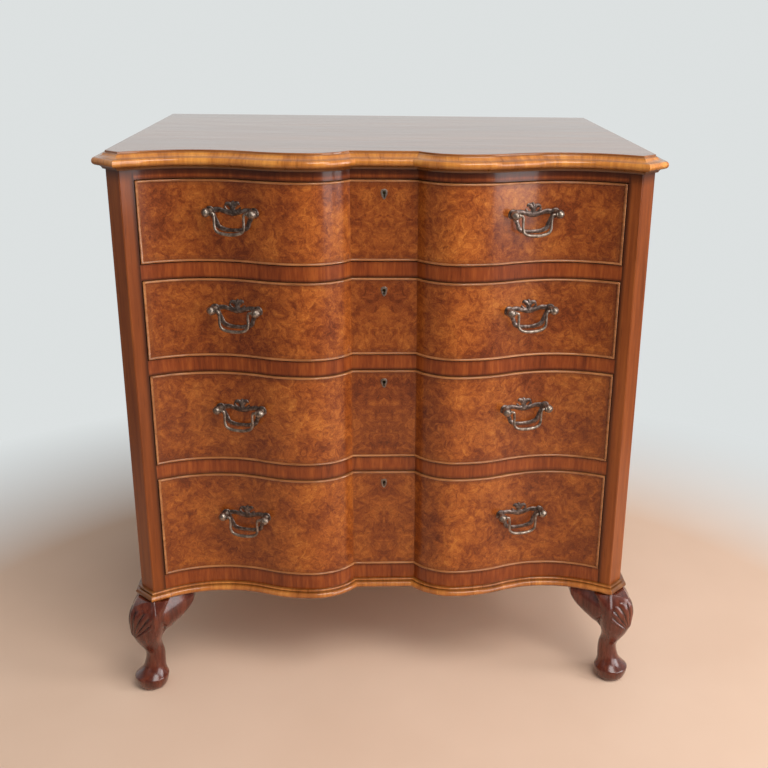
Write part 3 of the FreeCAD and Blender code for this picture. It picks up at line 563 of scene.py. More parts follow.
def plain_metal(name, low, high, rough):
    paint = Paint(name)
    cloud = paint.noise(paint.place((1, 1, 8)), 90, 4, 0.6)
    shade = paint.ramp(paint.between(cloud, 0.3, 0.7), ((0, low), (1, high)))
    gloss = paint.between(cloud, 0.3, 0.7, rough + 0.08, rough - 0.05)
    return paint.finish(shade, gloss, paint.bump(cloud, 0.00005, 0.4), Metallic=0.95)


def tones(dark, middle, light):
    return ((0, dark), (0.5, middle), (1, light))


RECESS_HALF = polar(INNER_CENTRE, INNER_RADIUS, recess_corner(0)).x

WALNUT = tones((0.096, 0.0165, 0.0036), (0.215, 0.042, 0.007), (0.35, 0.086, 0.013))
POST = tones((0.095, 0.0205, 0.0048), (0.222, 0.051, 0.0092), (0.35, 0.098, 0.018))
SIDE = tones((0.105, 0.028, 0.008), (0.215, 0.062, 0.016), (0.33, 0.112, 0.029))
# The top moulding's tones are lightened for the light that falls on it from above, and the base moulding's
# are a darker copy: painted light and painted shade
MOULDING = tones((0.25, 0.069, 0.0115), (0.53, 0.18, 0.028), (0.75, 0.31, 0.056))
BASE = tones((0.175, 0.048, 0.01), (0.42, 0.132, 0.024), (0.65, 0.25, 0.05))
# The beads' tones are lighter than their dark wood: a painted highlight along the beads
BEADING = tones((0.17, 0.056, 0.017), (0.32, 0.115, 0.036), (0.48, 0.2, 0.068))
TOP = tones((0.15, 0.043, 0.01), (0.25, 0.078, 0.017), (0.37, 0.13, 0.028))
MAHOGANY = tones((0.032, 0.005, 0.0026), (0.095, 0.016, 0.0062), (0.21, 0.042, 0.013))
OAK = tones((0.26, 0.125, 0.045), (0.43, 0.235, 0.09), (0.57, 0.34, 0.15))
PINE = tones((0.13, 0.062, 0.027), (0.22, 0.115, 0.052), (0.32, 0.18, 0.085))
BRASS = tones((0.11, 0.08, 0.062), (0.26, 0.2, 0.158), (0.48, 0.4, 0.325))
DARK_BRASS = tones((0.058, 0.039, 0.032), (0.128, 0.09, 0.075), (0.31, 0.236, 0.199))

# Heights with how far painted shade darkens the wood there, in mm above the foot of a moulding
# and in metres elsewhere
TOP_BANDS = ((0, 1), (4.5, 0.85), (7.5, 0.5), (10, 0.15), (12.5, 0), (15, 0.05), (15.9, 0.4),
             (17.2, 0.08), (20, 0.05), (21, 0.5), (22, 0.4))
BASE_BANDS = ((0, 0.8), (2, 0.45), (4, 0.12), (6, 0), (8.4, 0.1), (9.4, 0.45), (10.2, 0.6),
              (10.9, 0.4), (11.7, 0.08), (12.7, 0), (13.6, 0.25), (14, 0.6))
top_bands = [(CASE_TOP + z * MM, amount) for z, amount in TOP_BANDS]
base_bands = [(LEG_TOP + z * MM, amount) for z, amount in BASE_BANDS]
# Painted shadow under the top moulding, and painted shade along the rails' edges at the drawer gaps
under_top = [(0, 0), (CASE_TOP - 17 * MM, 0), (CASE_TOP - 8 * MM, 0.45), (CASE_TOP, 0.85)]
rail_edges = [(0, 0)]
for top, bottom in reversed(OPENINGS.values()):
    rail_edges += [(bottom - 3 * MM, 0), (bottom - 0.4 * MM, 0.45)]
    rail_edges += [(top + 0.6 * MM, 0.75), (top + 4 * MM, 0)]
rail_edges += [(CASE_TOP - 14 * MM, 0.3), (CASE_TOP - 8 * MM, 0.6), (CASE_TOP, 0.9)]
# Painted shade on the posts beside the drawer openings, and on the base moulding from the canted corners back
# along the sides
opening_edge = (HALF_OPENING + 1.5 * MM, HALF_OPENING + 5.5 * MM, 0.8, 0)
case_corner = (ARRIS.x, ARRIS.x + 3 * MM, 0, 0.72)

upright = {"coat": 0.3, "figure": 0.6, "painted_shade_levels": under_top}
polished = {"rough": 0.3, "coat": 0.8, "uv": True, "figure": 0.6}
front_veneer = burr_walnut()
rail_veneer = straight_wood("rail_walnut", WALNUT, (1, 1, 0.1), 210, painted_shade_levels=rail_edges)
case_veneer = straight_wood("case_walnut", POST, (1, 1, 0.045), 150, corners=opening_edge, **upright)
side_veneer = straight_wood("side_walnut", SIDE, (1, 1, 0.045), 150, **upright)
top_veneer = straight_wood("top_walnut", TOP, (0.06, 1, 1), 120, 0.22, 0.76, figure=0.6)
top_run = straight_wood("top_moulding_walnut", MOULDING, (1, 0.1, 1), 190, painted_shade_levels=top_bands, **polished)
base_run = straight_wood("base_moulding_walnut", BASE, (1, 0.1, 1), 190, painted_shade_levels=base_bands,
                         corners=case_corner, **polished)
bead_wood = straight_wood("bead_walnut", BEADING, (0.08, 1, 1), 160, 0.28, 0.9)
leg_wood = straight_wood("leg_mahogany", MAHOGANY, (1, 1, 0.12), 170, 0.26, 0.95, figure=0.6, carved=True)
lining_wood = straight_wood("lining_oak", OAK, (1, 0.05, 1), 130, 0.55, 0)
back_wood = straight_wood("back_pine", PINE, (1, 1, 0.05), 70, 0.6, 0)
brass = antique_brass("antique_brass", BRASS)
plate_brass = antique_brass("plate_brass", DARK_BRASS)
lock_brass = plain_metal("lock_brass", (0.42, 0.28, 0.1), (0.62, 0.45, 0.2), 0.34)
steel = plain_metal("bolt_steel", (0.34, 0.34, 0.34), (0.56, 0.56, 0.55), 0.32)


# Case

# Sections of the mouldings, outwards and upwards, in mm
TOP_SECTION = [(-1.1, 0), (3.6, 0)] + bend((3.6, 0), (6.2, 3.8), (12.4, 5.4), 7)
TOP_SECTION += bend((12.4, 5.4), (16.3, 10.7), (13.5, 15.5), 12) + [(12.4, 16)]
TOP_SECTION += bend((12.4, 16), (4.4, 17.6), (1, 21), 8) + [(-1.1, 22)]
BASE_SECTION = [(0, 0), (5, 0)] + bend((5, 0), (9, 4.6), (4.7, 9.4), 12) + [(3, 9.6), (3, 10.9)]
BASE_SECTION += bend((3, 10.9), (4.5, 12.5), (3, 14), 7) + [(0, 14)]
TOP_INSET = 1.1 * MM
TOP_SOFTNESS = 1.2 * MM
TOP_RING = 2.5 * MM
MORTISE_SLACK = 1 * MM
MORTISE_DEPTH = 7 * MM
POST_SOFTNESS = 0.9 * MM


def moulding(node, wood, section, bottom):
    """A moulding round the front and sides."""
    form = Form()
    rows = []
    for out, up in section:
        rows.append([raised(p, bottom + up * MM) for p in both_halves(case_half(out * MM))])
    walked = walk(rows[0])
    around = walk([Vector(p) * MM for p in section + section[:1]])
    columns = [list(column) + [column[0]] for column in zip(*rows)]
    made = form.grid(columns, grain=lambda a, b: (walked[a], around[b]))
    for end in (made[0], made[-1]):
        form.mesh.faces.new(end[:-1])
    mesh = form.done(merge=0.000001, angle=24)
    piece(node + "_run", mesh, "case", wood, node)


def top_board():
    """The top, whose upper edge is softened a little all round."""
    form = Form()

    def ring(inset, z):
        return [raised(p, z) for p in both_halves(case_half(-TOP_INSET - inset))]

    rows = [ring(0, CASE_TOP)]
    for angle in spread(0, pi / 2, 4):
        z = BOARD_TOP - TOP_SOFTNESS * (1 - sin(angle))
        rows.append(ring(TOP_SOFTNESS * (1 - cos(angle)), z))
    rows.append(ring(TOP_SOFTNESS + TOP_RING, BOARD_TOP))
    form.solid(rows)
    piece("top_panel", form.done(), "case", top_veneer, "top_board")


def strip(half_width, back_line, levels):
    """Rings of a rail or drawer front: the front line before, a straight line behind."""
    line = both_halves(front_half(0, hollow_angle(half_width)))
    ring = line + [Vector((line[-1].x, back_line)), Vector((line[0].x, back_line))]
    return [[raised(p, z) for p in ring] for z in levels]


def bolt_slot(drawer, slack, bottom, top):
    """A cutting block round the place of a lock bolt, between two heights."""
    low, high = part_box(drawer + "_lock_bolt")
    return block((low.x - slack, low.y - slack, bottom), (high.x + slack, high.y + slack, top))


def rails():
    """The five rails between the drawers, with a mortise over each lock."""
    form = Form()
    ceilings, floors = zip(*OPENINGS.values())
    for top, bottom in zip((CASE_TOP, *floors), (*ceilings, LEG_TOP)):
        form.solid(strip(HALF_OPENING, RAIL_BACK, (bottom, top)))
    tools = [bolt_slot("drawer_1", MORTISE_SLACK, z - MORTISE_SLACK, z + MORTISE_DEPTH) for z in ceilings]
    mesh = carve(form.done(), tools)
    piece("front_rail_set", mesh, "case", rail_veneer, "front_rails")


def posts():
    """The canted corner posts, with their long edges eased."""
    form = Form()
    cant = ARRIS + CANT_SLOPE * (CORNER_CANT * sqrt(2))
    plan = [POST_START, ARRIS, cant, Vector((HALF_BODY, POST_BACK)), Vector((HALF_OPENING, POST_BACK))]
    form.solid([[raised(p, z) for p in plan] for z in (LEG_TOP, CASE_TOP)])
    eased = []
    for edge in form.mesh.edges:
        first, second = (vert.co for vert in edge.verts)
        upright = abs(first.z - second.z) > 0.1
        if upright and min((first.xy - ARRIS).length, (first.xy - cant).length) < 0.0001:
            eased.append(edge)
    bmesh.ops.bevel(form.mesh, geom=eased, offset=POST_SOFTNESS, segments=3, affect="EDGES")
    mesh = form.done(mirrored=True, angle=40)
    piece("canted_posts", mesh, "case", case_veneer, "corner_posts")


# Legs: height, reach beyond the corner, half width, roundness (2 is a circle), all in mm
LEG_LEVELS = (
    (0, 10.3, 18.5, 2), (3, 13.4, 21.5, 2), (8, 16, 24, 2), (14, 17.7, 25.6, 2), (18.5, 18.4, 26.3, 2),
    (20.7, 18.1, 26.1, 2), (22.6, 15.9, 24.4, 2), (26, 11.6, 21.6, 2), (30, 7.8, 19, 2), (35, 4.4, 17, 2),
    (41, 2.4, 16, 2), (49, 0.5, 15, 2), (57, 0.1, 14.7, 2), (64, 1.5, 14.9, 2), (72, 5.2, 16, 2.05),
    (80, 9.2, 18, 2.15), (88, 12.8, 20.6, 2.3), (98, 15.9, 23.4, 2.5), (109, 17.6, 25.4, 2.8),
    (119, 18.2, 26.8, 3.1), (129, 18, 27.4, 3.6), (140, 15.4, 27, 4.4), (149, 10.6, 26, 6), (157, 4.8, 25, 9),
)
LEG_REACH = 19.7 * MM
REAR_LEG_INSET = 28 * MM
PLAIN_BELOW = 90
FINE_ARC = 1.15
# Under the moulding the knee starts at the case's canted corner, and swells out below it
KNEE_START = 4.5 * MM
KNEE_SWELL = 32 * MM
KNEE_HEIGHT = 24 * MM
SHELL_LOW = 95 * MM
SHELL_REACH = 54 * MM
SHELL_SPREAD = 0.84
SHELL_LOBES = 7
SHELL_RIM = 0.16


def shell_height(across, up):
    """How far the carved shell stands out of the knee at a place measured from its hinge."""
    reach = hypot(across, up)
    fan = abs(atan2(across, up))
    if fan > SHELL_SPREAD + SHELL_RIM or up < 0:
        return 0
    phase = (fan / SHELL_SPREAD + 1) * SHELL_LOBES / 2
    lobe = sqrt(abs(sin(pi * phase))) if fan < SHELL_SPREAD else 1
    end = SHELL_REACH * (0.84 + 0.16 * cos(1.2 * fan)) * (0.91 + 0.09 * lobe)
    inside = sin(clamp((end - reach) / (2.6 * MM)) * pi / 2)
    start = clamp((reach - 2 * MM) / (7 * MM))
    if fan < SHELL_SPREAD:
        swell = 0.6 + 0.4 * min(reach / SHELL_REACH, 1)
        return (2.5 * lobe - 1.5) * MM * swell * inside * start
    rim = sin((fan - SHELL_SPREAD) / SHELL_RIM * pi)
    return 1.5 * MM * rim * inside * start


def legs(name, rear):
    """A pair of cabriole legs on pad feet; the front ones have a shell carved on the knee."""
    levels = [level for i, level in enumerate(catmull(LEG_LEVELS, 12))
              if i % 4 == 0 or (level[0] >= PLAIN_BELOW and not rear)]
    diagonal = -pi / 4
    angles = spread(diagonal - FINE_ARC, diagonal + FINE_ARC, 40 if rear else 120)
    angles += spread(diagonal + FINE_ARC, diagonal - FINE_ARC + 2 * pi, 44)[1:-1]
    edge = Vector((HALF_BODY + LEG_REACH, FRONT - LEG_REACH))
    rows, depths = [], []
    for z, reach, half, roundness in levels:
        z, reach, half = z * MM, reach * MM, half * MM
        roundness = max(roundness, 2)
        centre = Vector((HALF_BODY + reach - half, BACK - REAR_LEG_INSET if rear else FRONT + half - reach))
        swell = 1 - min((LEG_TOP - z) / KNEE_HEIGHT, 1)
        limit = (ARRIS - centre).dot(CANT_NORMAL) + KNEE_START + KNEE_SWELL * sqrt(1 - swell * swell)
        ring, depth = [], []
        for angle in angles:
            along, across = cos(angle), sin(angle)
            radius = half / (abs(along) ** roundness + abs(across) ** roundness) ** (1 / roundness)
            facing = cos(angle - diagonal)
            carved = 0
            if not rear and facing > 0.1:
                radius = min(radius, limit / facing)
                if z > SHELL_LOW:
                    carved = shell_height((angle - diagonal) * radius, z - SHELL_LOW)
            spot = centre + Vector((along, across)) * (radius + carved)
            ring.append(Vector((min(spot.x, edge.x), max(spot.y, edge.y), z)))
            depth.append(clamp(0.5 - carved / (1.2 * MM)) if carved else 0)
        rows.append(ring)
        depths.append(depth)
    form = Form()
    form.solid(rows, grain=lambda a, b: (depths[a][b], 0))
    mesh = form.done(mirrored=True, angle=48)
    piece(name + "_cabriole_legs", mesh, "case", leg_wood, name + "_legs")


# Knee brackets: a share of the length with a share of the drop, and how far the face stands
# out at a share of the height below the moulding
BRACKET_EDGE = ((0, 1.26), (0.1, 1.22), (0.18, 1.14), (0.25, 1.04), (0.33, 0.955), (0.5, 0.82),
                (0.67, 0.67), (0.83, 0.5), (0.93, 0.35), (0.98, 0.24), (1, 0.1))
BRACKET_FACE = ((0, 1.8), (0.08, 3.4), (0.22, 5), (0.42, 6), (0.65, 6.2), (0.84, 5.2), (0.95, 3.4), (1, 0.6))
BRACKET_START = 15.5 * MM
BRACKET_LENGTH = 63.7 * MM
BRACKET_DROP = 60.5 * MM
BRACKET_DEPTH = 18 * MM
TIP_LIFT = 1.8
# The bracket runs on from the leg's face and leaves it over these distances or shares
HOLLOW_WIDTH = 6 * MM
HOLLOW_WIDE_AT = 24 * MM
KNEE_ENDS = (28 * MM, 44 * MM)
LEAVES_LEG = (0.3, 0.98)
REAR_SHIFT = 21.5 * MM
KNEE_LINE = catmull(LEG_LEVELS, 4)


def knee_at(distance, z):
    """The leg's reach beyond the case at a height, and its face at a distance from the corner."""
    for low, high in zip(KNEE_LINE, KNEE_LINE[1:]):
        if z <= high[0] * MM:
            break
    share = clamp((z / MM - low[0]) / (high[0] - low[0]))
    reach, half, power = (a + (b - a) * share for a, b in zip(low[1:], high[1:]))
    aside = abs(distance / MM - (half - reach)) / half
    face = half * (1 - aside ** power) ** (1 / power) - half if aside < 1 else -2 * half
    return reach * MM, (reach + face) * MM


def joined(first, second, width):
    """The greater of two heights, with a hollow of the given width between them."""
    return max(first, second) + max(width - abs(first - second), 0) ** 2 / (4 * width)


def bracket(form, face_at):
    """A knee bracket along face_at(distance, out): it runs on from the face of the leg."""
    rows = []
    for share, drop in catmull(BRACKET_EDGE, 5):
        distance = BRACKET_START + BRACKET_LENGTH * share
        tall = BRACKET_DROP * max(drop, 0.02)
        calm = min(1, 0.25 + drop * 2.2)
        leave = ease(share, *LEAVES_LEG)
        hollow = 0.05 * MM + HOLLOW_WIDTH * ease(distance, BRACKET_START, HOLLOW_WIDE_AT)
        near = 1 - ease(distance, *KNEE_ENDS)
        column = []
        for down, out in catmull(BRACKET_FACE, 3):
            z = LEG_TOP - tall * down
            under = clamp((down - 0.58) / 0.42)
            kept = sqrt(1 - under * under)
            kept += (1 - ease(down, 0.4, 1) - kept) * near
            reach, leg_face = knee_at(distance, z)
            knee = joined((reach + 2.3 * MM) * kept - 3 * MM, leg_face - 0.25 * MM, hollow)
            tip = (TIP_LIFT + (out - TIP_LIFT) * calm) * MM
            column.append(raised(face_at(distance, knee + (tip - knee) * leave), z))
        behind = face_at(distance, -BRACKET_DEPTH)
        rows.append(column + [raised(behind, LEG_TOP - tall), raised(behind, LEG_TOP)])
    form.solid(rows)


def front_face_at(distance, out):
    spot = front_at(HALF_BODY - distance, out)[0]
    return Vector((spot.x, max(spot.y, FRONT - out)))


def knee_brackets():
    form = Form()
    bracket(form, front_face_at)
    bracket(form, lambda distance, out: Vector((HALF_BODY + out, FRONT + distance)))
    bracket(form, lambda distance, out: Vector((HALF_BODY + out, BACK - distance - REAR_SHIFT)))
    mesh = form.done(mirrored=True, angle=40)
    piece("knee_bracket_set", mesh, "case", leg_wood, "knee_brackets")


# Drawer fronts, beads and handles
BOLT_SLACK = 0.4 * MM
HANDLE_X = 0.62278 * HALF_OPENING
POST_SPREAD = 64 * MM
POST_REACH = 14 * MM
BAIL_PIN = 1.85 * MM
NUT_FACE = 13.8 * MM
NUT_HOLE = 7.5 * MM
NUT_REACH = 50 * MM
# Handles are drawn flat about the middle between the posts and then laid on the curved front
inner_post, outer_post = (front_at(HANDLE_X + side * POST_SPREAD / 2)[0] for side in (-1, 1))
HANDLE_MIDDLE = (inner_post + outer_post) / 2
HANDLE_TURN = atan2(outer_post.y - inner_post.y, outer_post.x - inner_post.x)
HANDLE_WAY = Vector((cos(HANDLE_TURN), sin(HANDLE_TURN)))
HANDLE_PLACE = Matrix.Translation((*HANDLE_MIDDLE, 0)) @ Matrix.Rotation(HANDLE_TURN, 4, "Z")


def bead_frame(drawer):
    """One rounded bead round a drawer front, mitred at its corners and slit for the bolt."""
    top, bottom = OPENINGS[drawer]
    top, bottom = top - DRAWER_GAP, bottom + DRAWER_GAP
    nose = BEAD / 2
    section = [(0, None)]
    for angle in spread(0, pi, 10):
        section.append((nose - nose * cos(angle), BEAD_PROUD - nose + nose * sin(angle)))
    section.append((BEAD, None))
    form = Form()
    rows = []
    for inward, out in section:
        line = both_halves(front_half(out or 0, hollow_angle(FRONT_HALF - inward, out or 0)))
        if out is None:
            line = [Vector((p.x, FRONT_BACK)) for p in line]
        lower = [raised(p, bottom + inward) for p in line]
        rows.append(lower + [raised(p, top - inward) for p in reversed(line)])
    form.grid(rows, loop_rows=True, loop_columns=True)
    slit = bolt_slot(drawer, BOLT_SLACK, top - 2 * BEAD, top + BEAD)
    mesh = carve(form.done(angle=40), [slit], 40)
    piece(drawer + "_bead_frame", mesh, drawer, bead_wood, drawer + "_cock_beads")


def on_front(x, z, lift, level):
    """A point of the back plate: x along the handle, z above its axis, lift off the front."""
    world_x = HANDLE_MIDDLE.x + x * HANDLE_WAY.x
    for attempt in range(3):
        local = (front_at(world_x)[0] - HANDLE_MIDDLE).dot(HANDLE_WAY)
        world_x += (x - local) * HANDLE_WAY.x
    point, normal = front_at(world_x)
    return raised(point + normal * lift * MM, level + z)


# The strips of the back plate, as (x, z, half width, height) in mm: a U-shaped drop, a bar
# between the posts, and an asymmetrical leaf
PLATE_STROKES = (
    with_mirror([(-32, 1.5, 4.8, 1.6), (-28, -6, 3.6, 1.5), (-23.6, -14.5, 3.1, 1.5),
                 (-20.6, -21.5, 3.4, 1.6), (-12, -25.4, 3.1, 1.6), (0, -26.2, 2.6, 1.7)]),
    with_mirror([(-37, -4.5, 1.6, 1), (-36, 0.2, 2.7, 1.5), (-28, 1.4, 3.8, 1.7), (-19, 2.2, 3.4, 1.7),
                 (-11, 0, 3.2, 1.8), (0, -1.6, 4.4, 1.9)]),
    ((-1, -3, 4.4, 1.9), (-0.6, 2, 3.8, 2), (0.2, 6.5, 3.1, 2), (0.8, 9.5, 2.4, 1.8)),
    ((0.6, 6, 3.2, 1.9), (3, 9.4, 3.2, 1.9), (6.6, 10.8, 2.8, 1.7), (9.4, 9.6, 2, 1.4),
     (10.4, 7.4, 0.8, 0.9)),
    ((-0.6, 5.6, 3.2, 1.9), (-3.4, 9.4, 3.4, 1.9), (-6.4, 11.8, 3, 1.7), (-9, 11.6, 1.8, 1.4),
     (-9.8, 9.4, 0.8, 0.9)),
    ((0.4, 8, 2.6, 1.9), (-0.4, 12, 2.6, 1.8), (-2.4, 15, 1.1, 1.2)),
    ((6, 1.6, 1, 1.4), (9.8, 4.2, 1.7, 1.5), (11.4, 7.4, 1.2, 1.1)),
    ((-5.5, 1.4, 1, 1.4), (-9.6, 3.4, 1.6, 1.5), (-12, 6.4, 1.1, 1.1)),
)
STROKE_EDGE = 0.45
# The ringed seat of a post, pressed into the plate: radius, lift, in mm
ROSETTE = ((7, 0), (6.9, 0.9), (6.2, 1.6), (5.4, 1.8), (4.9, 1.4), (4.4, 1.3), (4, 1.6))


def across_line(line, i):
    """The direction across a line of (x, z, ...) tuples at its point i."""
    before, after = line[max(i - 1, 0)], line[min(i + 1, len(line) - 1)]
    return Vector((before[1] - after[1], after[0] - before[0])).normalized()


def back_plates(drawer, level):
    form = Form()
    for path in PLATE_STROKES:
        line = catmull(path, 5)
        rows = []
        for i, (x, z, half, high) in enumerate(line):
            side = across_line(line, i)
            row = []
            for share in (-1, -0.97, -0.72, -0.36, 0, 0.36, 0.72, 0.97, 1):
                lift = 0 if abs(share) == 1 else STROKE_EDGE + (high - STROKE_EDGE) * (1 - share * share)
                spot = (Vector((x, z)) + side * half * share) * MM
                row.append(on_front(spot.x, spot.y, lift, level))
            rows.append(row)
        form.grid(rows, caps=(0, -1))
    for x in (-POST_SPREAD / 2, POST_SPREAD / 2):
        rows = []
        for radius, lift in ROSETTE:
            spots = [polar(Vector((x, 0)), radius * MM, angle) for angle in circle(28)]
            rows.append([on_front(spot.x, spot.y, lift, level) for spot in spots])
        form.grid(rows, loop_columns=True, caps=(-1,))
    mesh = form.done(mirrored=True, angle=50)
    piece(drawer + "_back_plates", mesh, drawer, plate_brass, drawer + "_handle_plates")


# Turned forms: distance along the axis, radius, in mm
KNOB = ((-0.9, 2.25), (-5, 2.3), (-5.1, 3.6), (-4.7, 4.3), (-4, 4.3), (-3.5, 3.8), (-3, 4.3), (-2, 5.5),
        (-0.6, 6.2), (1, 6.4), (3, 6), (4.8, 5), (6.2, 3.6), (7.2, 2), (7.6, 0.5))
NECK = ((-14, 2.2), (-10, 2.7), (-7, 2.8), (-5, 3.2), (-3.4, 3.9), (-2.2, 4.3), (-0.8, 4.3))
STEM = ((-1, 2.2), (18.4, 2.2), (19, 1.7))
NUT = ((13.9, 2.3), (13.9, 4.5), (14.3, 5.15), (16.6, 5.15), (17, 4.5), (17, 2.3))


def turned(form, place, section, sides=26, caps=(0, -1)):
    """A form turned about the X axis of place."""
    rows = []
    for along, radius in section:
        spots = [Vector((along, radius * cos(angle), radius * sin(angle))) for angle in circle(sides)]
        rows.append([place @ (spot * MM) for spot in spots])
    form.grid(rows, loop_columns=True, caps=caps)


def handle_posts(drawer, level):
    form = Form()
    for side in (-1, 1):
        centre = Matrix.Translation((0, 0, level)) @ HANDLE_PLACE
        post = centre @ Matrix.Translation((side * POST_SPREAD / 2, 0, 0))
        knob = post @ Matrix.Translation((0, -POST_REACH, 0))
        if side < 0:
            knob = knob @ Matrix.Rotation(pi, 4, "Z")
        backwards = post @ Matrix.Rotation(pi / 2, 4, "Z")
        turned(form, knob, KNOB)
        turned(form, backwards, NECK)
        turned(form, backwards, STEM, 16)
        turned(form, backwards, NUT, 6, caps=())
    mesh = form.done(mirrored=True, angle=40)
    piece(drawer + "_knobs", mesh, drawer, brass, drawer + "_handle_posts")


# Half of the bail from its pin to the middle: across, down, radius, in mm
BAIL = ((30.7, 0, 1.75), (27.6, 0, 1.75), (25, -0.1, 2), (22.9, -0.9, 2.15), (21.7, -3.2, 1.95),
        (21.3, -7.5, 1.85), (21.3, -12.5, 1.85), (21.2, -18, 1.9), (19.9, -23.3, 2.05), (15.6, -27, 2.2),
        (8, -28.9, 2.35), (0, -29.4, 2.45))


def bail(drawer, level, hand, side):
    line = with_mirror(catmull(BAIL, 4))
    form = Form()
    rows = []
    for i, (x, z, radius) in enumerate(line):
        across = across_line(line, i)
        ring = []
        for angle in circle(16):
            spot = Vector((across.x * cos(angle), sin(angle), across.y * cos(angle))) * radius
            spot = HANDLE_PLACE @ ((spot + Vector((x, 0, z))) * MM - Vector((0, POST_REACH, 0)))
            ring.append(Vector((side * spot.x, spot.y, spot.z + level)))
        rows.append(ring)
    form.solid(rows)
    node = "%s_bail_%s" % (drawer, hand)
    mesh = form.done(angle=60)
    piece("%s_%s_bail_rod" % (drawer, hand), mesh, node, brass, node)


# Half of the escutcheon in mm, and the keyhole
SHIELD = ((0, 7.2), (2.6, 6.9), (4.3, 5.3), (4.7, 2.2), (3.9, -1.4), (2.85, -4.1), (1.4, -6.4), (0, -7.2))
SHIELD_SHIFT = Vector((0, -2 * MM))
KEY_DROP = 19.5 * MM
KEY_EYE = 2.3 * MM
KEY_SLOT = 1.1 * MM
KEY_TAIL = 6.4 * MM
KEY_DEPTH = 8 * MM
CUT_SPARE = 3 * MM
# The band inside the beads is drawn on the face of a front only
INSIDE = 50 * MM


def resample(half, count):
    """The closed outline with the given right half, as count evenly spaced points."""
    ring = half + [Vector((-p.x, p.y)) for p in reversed(half)]
    walked = walk(ring)
    line = []
    k = 0
    for i in range(count):
        want = walked[-1] * i / count
        while walked[k + 1] < want:
            k += 1
        line.append(ring[k].lerp(ring[k + 1], (want - walked[k]) / (walked[k + 1] - walked[k])))
    return line


def keyhole_ring(count):
    """The keyhole's outline, from the top round to the top, about the middle of its eye."""
    join = asin(KEY_SLOT / KEY_EYE)
    right = [Vector((KEY_EYE * sin(a), KEY_EYE * cos(a))) for a in spread(0, pi - join, 12)]
    right += [Vector((KEY_SLOT * 0.95, -KEY_TAIL * 0.6)), Vector((KEY_SLOT * 0.8, -KEY_TAIL))]
    return resample(right, count)


def escutcheon(drawer):
    """The key shield: a share of the way in from its outline to the keyhole, with a lift in mm."""
    key = OPENINGS[drawer][0] - KEY_DROP
    shield = resample([Vector(p) * MM for p in catmull(SHIELD, 5)], 64)
    hole = keyhole_ring(64)
    rows = []
    for share, lift in ((0, -3.5), (0, 0.25), (0.1, 0.48), (0.28, 0.5), (0.8, 0.38), (1, 0.3), (1, -3.5)):
        spots = [(outer + SHIELD_SHIFT).lerp(inner, share) for outer, inner in zip(shield, hole)]
        rows.append([Vector((p.x, FRONT + RECESS_DEPTH - lift * MM, key + p.y)) for p in spots])
    form = Form()
    form.grid(rows, loop_columns=True)
    mesh = form.done(angle=50)
    piece(drawer + "_key_shield", mesh, drawer, brass, drawer + "_escutcheon")


def drawer_front(drawer, level):
    """A serpentine front, with its lock, keyhole, nuts and bottom let in."""
    top, bottom = OPENINGS[drawer]
    inset = DRAWER_GAP + BEAD
    low, high = bottom + inset, top - inset
    rings = strip(FRONT_HALF - BEAD, FRONT_BACK, (low, (low + high) / 2, high))
    walked = walk(rings[0])
    last = len(walked) - 3
    rise = (0, (high - low) / 2, 0)

    def grain(a, b):
        """How far a point of the face is from its nearest end and edge."""
        end = min(walked[b], abs(walked[last] - walked[b])) if b <= last else INSIDE
        return (end, rise[a])

    form = Form()
    form.solid(rings, grain)
    lock_low, lock_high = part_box(drawer + "_lock")
    tools = [block(lock_low, (lock_high.x, lock_high.y + CUT_SPARE, lock_high.z + CUT_SPARE))]
    key = top - KEY_DROP
    key_way = (FRONT + RECESS_DEPTH - CUT_SPARE, FRONT_BACK - KEY_DEPTH)
    tools.append(prism([[Vector((p.x, y, key + p.y)) for p in keyhole_ring(40)] for y in key_way]))
    board_low, board_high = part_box(drawer + "_bottom")
    tools.append(block(board_low, (board_high.x, FRONT_BACK + CUT_SPARE, board_high.z)))
    inwards = HANDLE_PLACE.to_3x3() @ Vector((0, 1, 0))
    for hand in (-1, 1):
        for post in (-1, 1):
            start = HANDLE_PLACE @ Vector((post * POST_SPREAD / 2, NUT_FACE, 0))
            start = Vector((start.x * hand, start.y, level))
            way = Vector((inwards.x * hand, inwards.y, 0))
            tools.append(rod(start, way, NUT_HOLE, NUT_REACH))
    mesh = carve(form.done(), tools)
    piece(drawer + "_burr_front", mesh, drawer, front_veneer, drawer + "_front")


moulding("top_moulding", top_run, TOP_SECTION, CASE_TOP)
moulding("base_moulding", base_run, BASE_SECTION, LEG_TOP)
top_board()
rails()
posts()
legs("front", rear=False)
legs("rear", rear=True)
knee_brackets()
for drawer in OPENINGS:
    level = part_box(drawer + "_bail_right")[1].z - BAIL_PIN * cos(pi / 6)
    drawer_front(drawer, level)
    bead_frame(drawer)
    back_plates(drawer, level)
    handle_posts(drawer, level)
    bail(drawer, level, "left", -1)
    bail(drawer, level, "right", 1)
    escutcheon(drawer)
    for part in ("_sides", "_back", "_bottom"):
        repaint(drawer + part, lining_wood)
    repaint(drawer + "_lock", lock_brass)
    repaint(drawer + "_lock_bolt", steel)
repaint("case_sides", side_veneer)
repaint("back_panel", back_wood)
repaint("dust_boards", lining_wood)
repaint("drawer_runners", lining_wood)


# Floor, light and camera

BACKGROUND = colour(0.72, 0.75, 0.75)
ROOM_LIGHT = 0.41
ROOM_SHADE = 0.2
FLOOR_REACH = (-6, 6)
# The floor passes into the background between these distances from its middle
FLOOR_MIDDLE = (0, -0.35, 0)
FLOOR_FADE = (0.85, 1.45)


